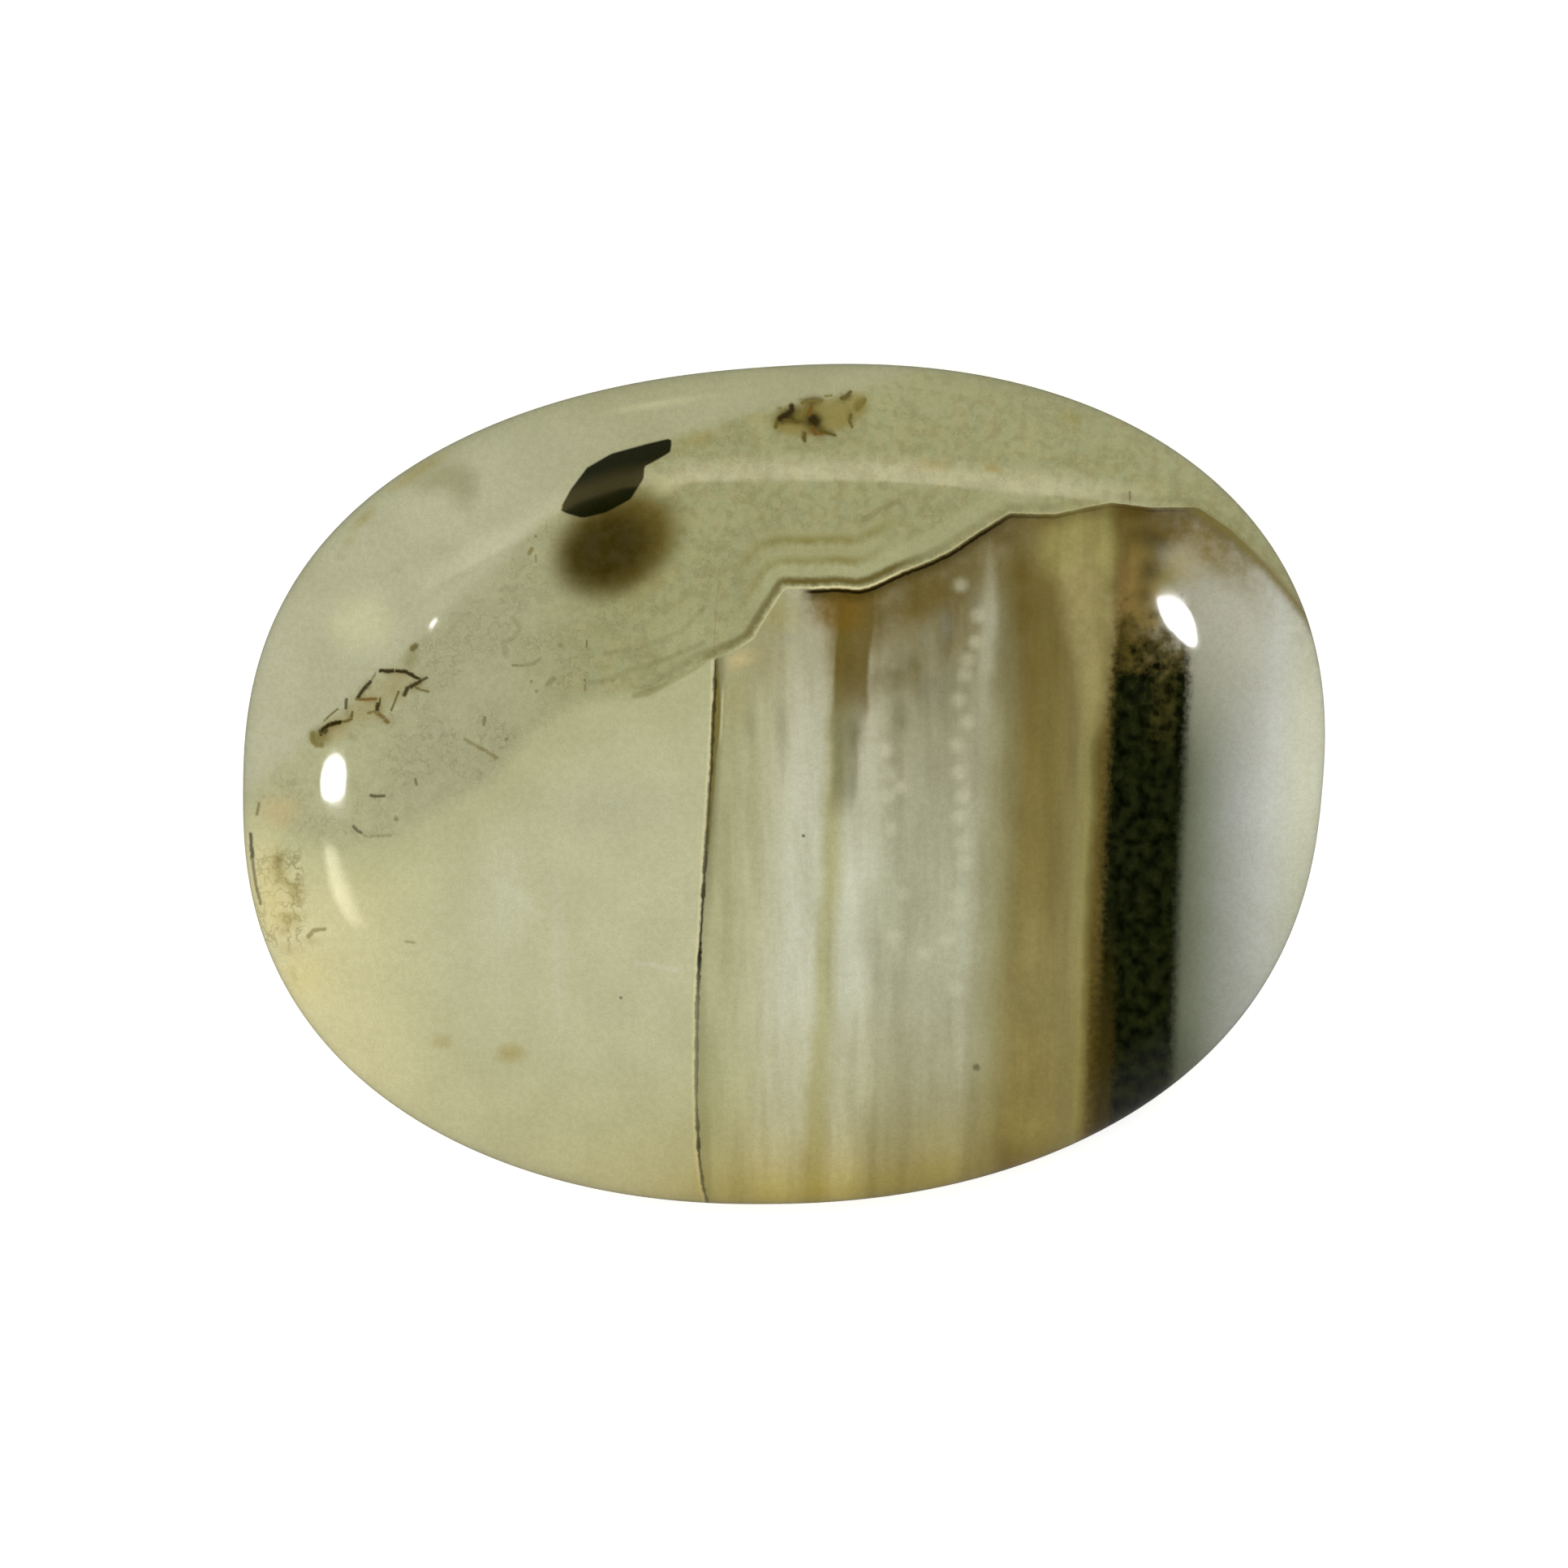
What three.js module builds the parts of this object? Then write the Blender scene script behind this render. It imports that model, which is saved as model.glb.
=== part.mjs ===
// An agate stone: one piece of banded chalcedony, ground and polished to a flat-backed oval cabochon.
// Millimetres, +Z up. The origin is the middle of the flat back, X runs along the length, Y along the width.

import * as THREE from "three";

// Overall size
const LENGTH = 30;
const WIDTH = 23.3;
const THICKNESS = 6.4;

// Outline seen from above: a squared-off ellipse, made a little uneven by hand grinding.
const SQUARENESS = 2.34; // exponent of the superellipse: 2 is a true ellipse, more is squarer
const GRINDING_WAVES = [
  // shares of the radius; each wave goes round the outline this many times
  { times: 1, cosine: 0.028, sine: 0.014 },
  { times: 2, cosine: -0.035, sine: 0.021 },
  { times: 3, cosine: -0.002, sine: 0.007 },
];

// Section from the back to the crown. The girdle is the widest line round the stone.
const GIRDLE_HEIGHT = 1.9;
const FLAT_BACK_SHARE = 0.86; // the flat back's share of the girdle's radius
const HEEL_POWER = 2; // the rounded edge under the girdle is a quarter ellipse
const CROWN_FLATNESS = 2.6; // exponent of the radius in the dome: 2 is an ellipse, more is flatter on top
const CROWN_ROUNDNESS = 2; // exponent of the height in the dome

// Fineness of the facets
const AROUND = 96;
const HEEL_STEPS = 5;
const CROWN_STEPS = 16;

const COLOURS = { agate: "#b2b189" };
const POLISH = 0.1;

/** Distance from the middle to the girdle at an angle round the stone, before it is fitted to its size. */
function outlineRadius(angle) {
  const across = Math.abs(Math.cos(angle) / (LENGTH / 2)) ** SQUARENESS;
  const along = Math.abs(Math.sin(angle) / (WIDTH / 2)) ** SQUARENESS;
  const waves = GRINDING_WAVES.map(
    ({ times, cosine, sine }) => cosine * Math.cos(times * angle) + sine * Math.sin(times * angle),
  );
  return (across + along) ** (-1 / SQUARENESS) * waves.reduce((sum, wave) => sum + wave, 1);
}

/** A point on a quarter superellipse from (1, 0) at turn 0 to (0, 1) at turn 1. */
function quarterCurve(turn, widthPower, heightPower) {
  const angle = (turn * Math.PI) / 2;
  const width = turn === 1 ? 0 : Math.cos(angle) ** (2 / widthPower);
  return new THREE.Vector2(width, Math.sin(angle) ** (2 / heightPower));
}

/** The section as shares of the girdle's radius (x) and heights in millimetres (y), from the back to the crown. */
function sectionPoints() {
  const points = [new THREE.Vector2(0, 0)];
  for (let step = HEEL_STEPS; step > 0; step -= 1) {
    const curve = quarterCurve(step / HEEL_STEPS, HEEL_POWER, HEEL_POWER);
    const share = FLAT_BACK_SHARE + (1 - FLAT_BACK_SHARE) * curve.x;
    points.push(new THREE.Vector2(share, GIRDLE_HEIGHT * (1 - curve.y)));
  }
  for (let step = 0; step <= CROWN_STEPS; step += 1) {
    const curve = quarterCurve(step / CROWN_STEPS, CROWN_FLATNESS, CROWN_ROUNDNESS);
    points.push(new THREE.Vector2(curve.x, GIRDLE_HEIGHT + (THICKNESS - GIRDLE_HEIGHT) * curve.y));
  }
  return points;
}

/** Turns the section round, draws each point out to the outline, and fits the whole to its size. */
function stoneGeometry() {
  const geometry = new THREE.LatheGeometry(sectionPoints(), AROUND);
  geometry.rotateX(Math.PI / 2);
  const position = geometry.getAttribute("position");
  for (let i = 0; i < position.count; i += 1) {
    const radius = outlineRadius(Math.atan2(position.getY(i), position.getX(i)));
    position.setXY(i, position.getX(i) * radius, position.getY(i) * radius);
  }
  geometry.computeBoundingBox();
  const size = geometry.boundingBox.getSize(new THREE.Vector3());
  const middle = geometry.boundingBox.getCenter(new THREE.Vector3());
  geometry.translate(-middle.x, -middle.y, 0);
  geometry.scale(LENGTH / size.x, WIDTH / size.y, 1);
  geometry.computeVertexNormals();
  return geometry;
}

/** The polished stone, in one solid. */
function agateStone() {
  const material = new THREE.MeshStandardMaterial({
    color: COLOURS.agate,
    roughness: POLISH,
    metalness: 0,
  });
  const stone = new THREE.Mesh(stoneGeometry(), material);
  stone.name = "agate_stone";
  return stone;
}

const part = new THREE.Group();
part.add(agateStone());

export default part;
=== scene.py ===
"""A polished agate cabochon: one stone with its bedding and inclusions, and the studio it lies in.

Lengths on the stone are in millimetres, +X along the length and +Y along the width as seen from above.
What is handed to Blender is in metres.
"""

from __future__ import annotations

import logging
import math
from dataclasses import dataclass
from enum import Enum
from functools import reduce

import bpy
import numpy as np
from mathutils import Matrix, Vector

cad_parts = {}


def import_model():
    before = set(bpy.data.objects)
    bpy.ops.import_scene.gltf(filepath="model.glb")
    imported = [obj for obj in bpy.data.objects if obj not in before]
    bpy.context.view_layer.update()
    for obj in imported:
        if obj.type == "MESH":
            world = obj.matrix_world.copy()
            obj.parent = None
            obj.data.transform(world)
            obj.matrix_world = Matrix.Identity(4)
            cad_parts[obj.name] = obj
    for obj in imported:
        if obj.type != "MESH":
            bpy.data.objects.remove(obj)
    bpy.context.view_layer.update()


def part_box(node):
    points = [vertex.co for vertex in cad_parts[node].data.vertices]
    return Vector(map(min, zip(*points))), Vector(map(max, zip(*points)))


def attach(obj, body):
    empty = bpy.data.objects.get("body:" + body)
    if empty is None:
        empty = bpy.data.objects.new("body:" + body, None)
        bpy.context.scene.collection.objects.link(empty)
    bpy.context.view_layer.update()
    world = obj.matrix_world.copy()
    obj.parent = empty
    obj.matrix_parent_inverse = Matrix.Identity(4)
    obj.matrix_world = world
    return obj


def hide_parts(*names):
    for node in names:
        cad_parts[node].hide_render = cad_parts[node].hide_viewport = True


LOG = logging.getLogger("agate")
MM = 0.001
STONE_NODE = "agate_stone"

Point = tuple[float, float]
Socket = bpy.types.NodeSocket


class Tint(Enum):
    """The named colours of the stone, as they look under white light."""

    # The growths
    MILK = "#bab996"
    MILK_SHADE = "#b0b089"
    CHALK = "#c7c8b2"
    CREAM = "#d0c99a"
    CREAM_DEEP = "#d3c68c"
    STRAW = "#b1af87"
    SAND = "#c2b183"
    REED = "#adad93"
    PEARL = "#b0b097"
    DUN = "#98946e"
    OCHRE = "#817543"
    WHEAT = "#857d51"
    HUSK = "#67592b"
    MOSS = "#a09d73"
    MOSS_PALE = "#a8a787"
    MOSS_GREEN = "#9b9c74"
    SAGE = "#a7a77f"
    FERN = "#8a8450"
    GLASSY = "#b0af92"
    GLASSY_TOP = "#a5a482"
    SLATE = "#3a3f2b"
    SLATE_PALE = "#666a57"
    SMOKE = "#7f8474"
    MIST = "#a5a7a0"
    PALE_MIST = "#bfc1b9"
    LAVENDER = "#b5b3a0"
    # Lines and cracks
    HAZE_AND_SHEEN = "#c6c69c"
    FRINGE = "#d2ca9c"
    INK = "#120d02"
    OLIVE = "#5f5320"
    OLIVE_PALE = "#847e54"
    OLIVE_RIM = "#97986f"
    LICHEN = "#948746"
    BRONZE = "#74682f"
    THREAD = "#2e2507"
    RUST = "#6f521c"
    RUST_PALE = "#95794a"
    # Stains
    FLAKE = "#0b0f02"
    HALO_CORE = "#352b05"
    HALO_EDGE = "#62541c"
    ORANGE = "#785a16"
    UMBER = "#685822"
    UMBER_DEEP = "#4a3c10"
    UMBER_GREY = "#685a2e"
    BLUE_GREY = "#868878"
    GREY_STAIN = "#716e4c"
    TAN = "#9c8f62"
    KHAKI = "#a0995f"
    KHAKI_DEEP = "#8b8148"
    KHAKI_LIGHT = "#9d9361"
    BARK = "#3f3512"
    BARK_PALE = "#7f6e3a"
    SOOT = "#050802"
    SOOT_FLECK = "#22270f"
    STAIN = "#a3955a"
    SPECK = "#55543a"
    BEAD = "#c8c7ab"
    # What multiplies the tints under it
    UPWARD_BROWN = "#b09f74"
    # Painted light: the amber of light shining through the thin foot of the stone.
    AMBER_LIGHT_THROUGH = "#dbc678"
    FIBRE = "#d8d6ca"
    # The sheen of the stone and of the flake in it
    CLEAR = "#ffffff"
    FLAKE_SHEEN = "#d6c78c"
    GRAIN = "#efeee8"

    @property
    def linear(self) -> tuple[float, ...]:
        """The tint as scene-linear red, green, blue and alpha."""
        return linear_from_hex(self.value)


Value = float | tuple | Vector | Socket | Tint


def linear_from_hex(text: str) -> tuple[float, ...]:
    """Turn a colour, written as # and six hexadecimal digits, into scene-linear values and an alpha of 1."""
    shares = (int(text[at : at + 2], 16) / 255 for at in (1, 3, 5))
    return (*(s / 12.92 if s <= 0.04045 else ((s + 0.055) / 1.055) ** 2.4 for s in shares), 1.0)


def add_mesh(name: str, points: list, faces: list) -> bpy.types.Object:
    """Put a mesh into the scene.

    Args:
        name: Its name.
        points: Its corners, in metres.
        faces: Its faces, as numbers of their corners.

    Returns:
        The object.
    """
    mesh = bpy.data.meshes.new(name)
    mesh.from_pydata(points, [], faces)
    item = bpy.data.objects.new(name, mesh)
    bpy.context.scene.collection.objects.link(item)
    return item


# The form of the stone


@dataclass
class StoneForm:
    """The ground form: an uneven squared oval with a rounded heel, a girdle and a flattish crown.

    The waves are what hand grinding left in the outline: how often each goes round, and the cosine and sine
    of it as shares of the radius.
    """

    length: float
    width: float
    thickness: float
    squareness: float = 2.34
    waves: tuple[tuple[int, float, float], ...] = ((1, 0.028, 0.014), (2, -0.035, 0.021), (3, -0.002, 0.007))
    girdle_height: float = 1.9
    flat_back_share: float = 0.86
    crown_flatness: float = 2.6
    samples: int = 2880

    def __post_init__(self) -> None:
        """Measure the raw outline once, so that it can be fitted to the length and width."""
        angles = np.linspace(0, 2 * math.pi, self.samples, endpoint=False)
        outline = self.raw_radius(angles)[:, None] * np.stack([np.cos(angles), np.sin(angles)], axis=-1)
        low, high = outline.min(0), outline.max(0)
        self.middle = (low + high) / 2
        self.fit = np.array([self.length, self.width]) / (high - low)

    def raw_radius(self, angle: np.ndarray) -> np.ndarray:
        """Give the girdle's radius before it is fitted.

        Args:
            angle: Directions from the middle, in radians.

        Returns:
            The radius in each direction.
        """
        across = np.abs(np.cos(angle) / (self.length / 2)) ** self.squareness
        along = np.abs(np.sin(angle) / (self.width / 2)) ** self.squareness
        swell = sum(c * np.cos(times * angle) + s * np.sin(times * angle) for times, c, s in self.waves)
        return (across + along) ** (-1 / self.squareness) * (1 + swell)

    def spread(self, share: np.ndarray, angle: np.ndarray) -> np.ndarray:
        """Place points by their share of the girdle's radius and their angle round the stone."""
        raw = (share * self.raw_radius(angle))[:, None] * np.stack([np.cos(angle), np.sin(angle)], axis=-1)
        return (raw - self.middle) * self.fit

    def share_at(self, x: float, y: float) -> float:
        """Give a place's share of the girdle's radius, from 0 at the middle to 1 on the girdle."""
        raw_x, raw_y = np.array([x, y]) / self.fit + self.middle
        return math.hypot(raw_x, raw_y) / float(self.raw_radius(np.arctan2(raw_y, raw_x)))

    def crown_height(self, share: np.ndarray) -> np.ndarray:
        """Give the crown's height over the flat back, at shares of the girdle's radius."""
        dome = np.sqrt(1 - np.clip(share, 0, 1) ** self.crown_flatness)
        return self.girdle_height + (self.thickness - self.girdle_height) * dome

    def crown_point(self, x: float, y: float) -> Vector:
        """Give the point of the crown over a place, in millimetres."""
        return Vector((x, y, float(self.crown_height(np.array(self.share_at(x, y))))))

    def crown_normal(self, x: float, y: float, step: float = 0.002) -> Vector:
        """Give the direction in which the crown faces, from its heights a short step away on each side."""
        east, west, north, south = (
            self.crown_point(x + i * step, y + j * step).z for i, j in ((1, 0), (-1, 0), (0, 1), (0, -1))
        )
        return Vector((west - east, south - north, 2 * step)).normalized()


# The markings


@dataclass(frozen=True)
class BeddingLine:
    """A line in the bedding. The signed distance of each place from it is laid on the mesh."""

    points: tuple[Point, ...]

    def distance(self, places: np.ndarray) -> np.ndarray:
        """Measure how far places lie to the left of the line, as one follows it.

        Args:
            places: X and Y of each place.

        Returns:
            Signed distances, above 0 on the left.
        """
        line = np.array(self.points)
        gaps, sides = [], []
        for start, end in zip(line[:-1], line[1:]):
            run = end - start
            away = places - start
            along = np.clip(away @ run / (run @ run), 0, 1)
            gaps.append(np.linalg.norm(away - along[:, None] * run, axis=1))
            sides.append((run[0] * away[:, 1] - run[1] * away[:, 0]) / np.linalg.norm(run))
        gap, side = np.array(gaps), np.array(sides)
        # Where two stretches are equally near, at a corner, the one that is faced more squarely decides.
        nearest = np.argmin(gap - 1e-6 * np.abs(side), axis=0)
        every = np.arange(len(places))
        return gap[nearest, every] * np.sign(side[nearest, every])


@dataclass(frozen=True)
class Stain:
    """A soft stain: a turned oval, whole inside its core and faded out at its edge."""

    tint: Tint
    x: float
    y: float
    half_length: float
    half_width: float
    strength: float
    turn: float = 0.0
    core: float = 0.0

    def shown(self, places: np.ndarray) -> np.ndarray:
        """Give how much of the stain shows, from 0 to 1.

        Args:
            places: X and Y of each place.

        Returns:
            The share of the stain's tint at each place.
        """
        turn = math.radians(self.turn)
        x, y = (places - (self.x, self.y)).T
        along = (x * math.cos(turn) + y * math.sin(turn)) / self.half_length
        across = (y * math.cos(turn) - x * math.sin(turn)) / self.half_width
        share = np.clip((1 - np.hypot(along, across)) / (1 - self.core), 0, 1)
        return self.strength * share * share * (3 - 2 * share)


@dataclass(frozen=True)
class Thread:
    """A fine thread through a few points. A single point makes a dot."""

    tint: Tint
    strength: float
    half_width: float
    points: tuple[Point, ...]

    def stretches(self) -> list[tuple[Point, Point]]:
        """Give the two ends of each straight stretch."""
        return list(zip(self.points, self.points[1:] or self.points))


@dataclass(frozen=True)
class Streak:
    """A streak along the upright bands, between two edges and two ends."""

    left: float
    right: float
    soft: float
    low: float
    high: float
    fade: float
    tint: Tint
    strength: float


def stains(*rows: tuple) -> tuple[Stain, ...]:
    """Name stains in rows of one tint: place, half size, strength, and turn and core where they have them."""
    return tuple(Stain(tint, *stain) for tint, *row in rows for stain in row)


def beads(strength: float, size: float, *places: Point) -> tuple:
    """Name soft round beads of one kind, as a row of stains."""
    return (Tint.BEAD, *((*place, size, size, strength, 0, 0.2) for place in places))


def threads(*rows: tuple) -> tuple[Thread, ...]:
    """Name threads in rows of one tint: strength, half width and points."""
    return tuple(Thread(tint, *thread[:2], thread[2:]) for tint, *row in rows for thread in row)


GROWTH_FRONT = BeddingLine(
    (
        (-15.33, -0.2), (-14.22, -0.76), (-13.28, -1.43), (-12.14, -1.69), (-10.78, -1.42), (-9.44, -0.75),
        (-8.1, 0.02), (-7.43, 0.8), (-6.32, 1.9), (-5.22, 2.3), (-3.67, 2.45), (-2.34, 3.31), (-1.46, 3.58),
        (-0.86, 3.93), (-0.57, 4.42), (0.02, 5.35), (0.73, 5.33), (1.44, 5.37), (2.03, 5.31), (2.39, 5.4),
        (3.23, 5.8), (3.94, 6.07), (4.54, 6.36), (5.12, 6.76), (6.15, 7.41), (7.42, 7.39), (8.34, 7.6),
        (8.99, 7.72), (10.05, 7.6), (11.39, 7.62), (12.32, 7), (13.46, 5.96), (14.52, 4.73), (15.62, 3.06),
    )
)
CRACK = BeddingLine(
    (
        (-1.86, 3.54), (-1.88, 2.56), (-1.92, 1.68), (-1.99, 0.35), (-2.08, -0.97), (-2.16, -2.3),
        (-2.3, -4.73), (-2.37, -6.06), (-2.4, -8.52), (-2.34, -10.11), (-2.24, -11.05), (-2.07, -11.79),
    )
)
CLEAR_EDGE = BeddingLine(
    (
        (-14.97, -0.43), (-12.94, 1.2), (-11.64, 2.42), (-10.12, 3.75), (-8.12, 5.68), (-6.13, 7.53),
        (-4.58, 8.65), (-3.03, 9.37), (-0.58, 10.21), (2.1, 10.81), (4.13, 11.48),
    )
)
FLAKE_OUTLINE = BeddingLine(
    (
        (-6.14, 7.5), (-5.95, 7.4), (-5.5, 7.27), (-4.86, 7.42), (-4.19, 7.79), (-3.84, 8.36), (-3.82, 8.69),
        (-3.47, 8.88), (-3.12, 9.09), (-3.07, 9.39), (-3.13, 9.48), (-3.76, 9.33), (-4.74, 9.06),
        (-5.4, 8.67), (-5.84, 8.07), (-6.14, 7.5),
    )
)

# Stains under the growth front, right of the crack.
BAND_STAINS = stains(
    (Tint.STRAW, (1.2, -7.8, 3.4, 2.8, 0.45)),
    (Tint.UMBER, (6.52, 5.25, 0.62, 2.1, 0.85, 3, 0.2), (6.7, 3.4, 0.55, 1.8, 0.5, 3, 0.1),
     (6.7, 1.4, 0.6, 1.7, 0.35, 3, 0.1)),
    (Tint.GREY_STAIN, (1.92, 1.35, 0.45, 0.75, 0.65), (3.23, 1.79, 0.35, 0.66, 0.55),
     (3.36, 3.23, 0.35, 0.49, 0.45)),
    (Tint.UMBER_DEEP, (6.08, 6.75, 0.49, 0.35, 0.65, 30)),
    (Tint.UMBER, (6.6, 7.05, 0.9, 0.31, 0.35, 2)),
    (Tint.KHAKI_LIGHT, (6.8, -6.6, 1.5, 5, 0.65, 0, 0.2)),
    (Tint.BLUE_GREY, (4.07, 2.56, 0.71, 0.88, 0.3)),
    (Tint.KHAKI, (8.05, 6.45, 1.5, 1.4, 1, 0, 0.35), (6.6, -9.4, 1.4, 0.9, 0.5)),
    (Tint.KHAKI_LIGHT, (8.32, 5, 1.15, 2.3, 0.9, 8, 0.3), (8.4, 3.8, 0.8, 3, 0.75, 4, 0.3)),
    (Tint.BARK_PALE, (9.61, 6.94, 0.75, 0.49, 0.7), (10.42, 7.04, 0.44, 0.44, 0.65),
     (9.8, 5.6, 0.64, 1.9, 0.9, 0, 0.4)),
    (Tint.RUST_PALE, (9.37, 5.7, 0.45, 0.95, 0.45, 0, 0.2)),
    (Tint.BARK_PALE, (10.12, 5.3, 0.52, 0.5, 0.9)),
    (Tint.BARK, (10.24, 6.78, 0.92, 0.66, 0.95, -10), (10.16, 5.82, 0.66, 0.62, 0.85)),
    (Tint.TAN, (-0.4, 3.4, 1.2, 1.1, 0.3)),
    (Tint.KHAKI, (-0.12, 4.6, 0.95, 0.85, 0.6, 0, 0.1)),
    (Tint.SAND, (-1.17, 3.38, 0.75, 0.42, 0.8, 20)),
    (Tint.ORANGE, (1.62, 4.8, 1.2, 0.9, 0.95, -8, 0.3)),
    (Tint.UMBER_DEEP, (9.6, 6.85, 0.45, 0.4, 0.6)),
    (Tint.BARK_PALE, (10.05, 4.62, 0.55, 0.65, 0.9), (11.7, 6.58, 2.3, 1.1, 0.95, -38)),
    (Tint.UMBER, (3.7, 5.05, 1.95, 1.05, 0.75, 28, 0.1), (10.75, 7.1, 0.9, 0.6, 0.95, -10, 0.2)),
    (Tint.UMBER_GREY, (2.45, 4.35, 0.65, 1.15, 0.75, 0, 0.1)),
    (Tint.TAN, (-1.33, 2.3, 0.57, 1.33, 0.5, 0, 0.1), (10.95, 6, 0.9, 0.9, 0.7, 0, 0.1)),
    (Tint.GREY_STAIN, (-0.93, 1.61, 0.24, 0.75, 0.4), (-0.04, 1.63, 0.24, 0.93, 0.35)),
    (Tint.BLUE_GREY, (0.13, 3.95, 0.3, 0.3, 0.4), (4.4, 4.3, 0.36, 0.9, 0.6)),
    (Tint.UMBER_DEEP, (9.85, 5.2, 0.4, 0.35, 0.6), (10.7, 7.1, 0.55, 0.35, 0.5)),
    (Tint.RUST_PALE, (9.27, 4.9, 0.35, 0.66, 0.7)),
    (Tint.KHAKI_DEEP, (10.48, 5.55, 0.55, 0.75, 0.75)),
)

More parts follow.
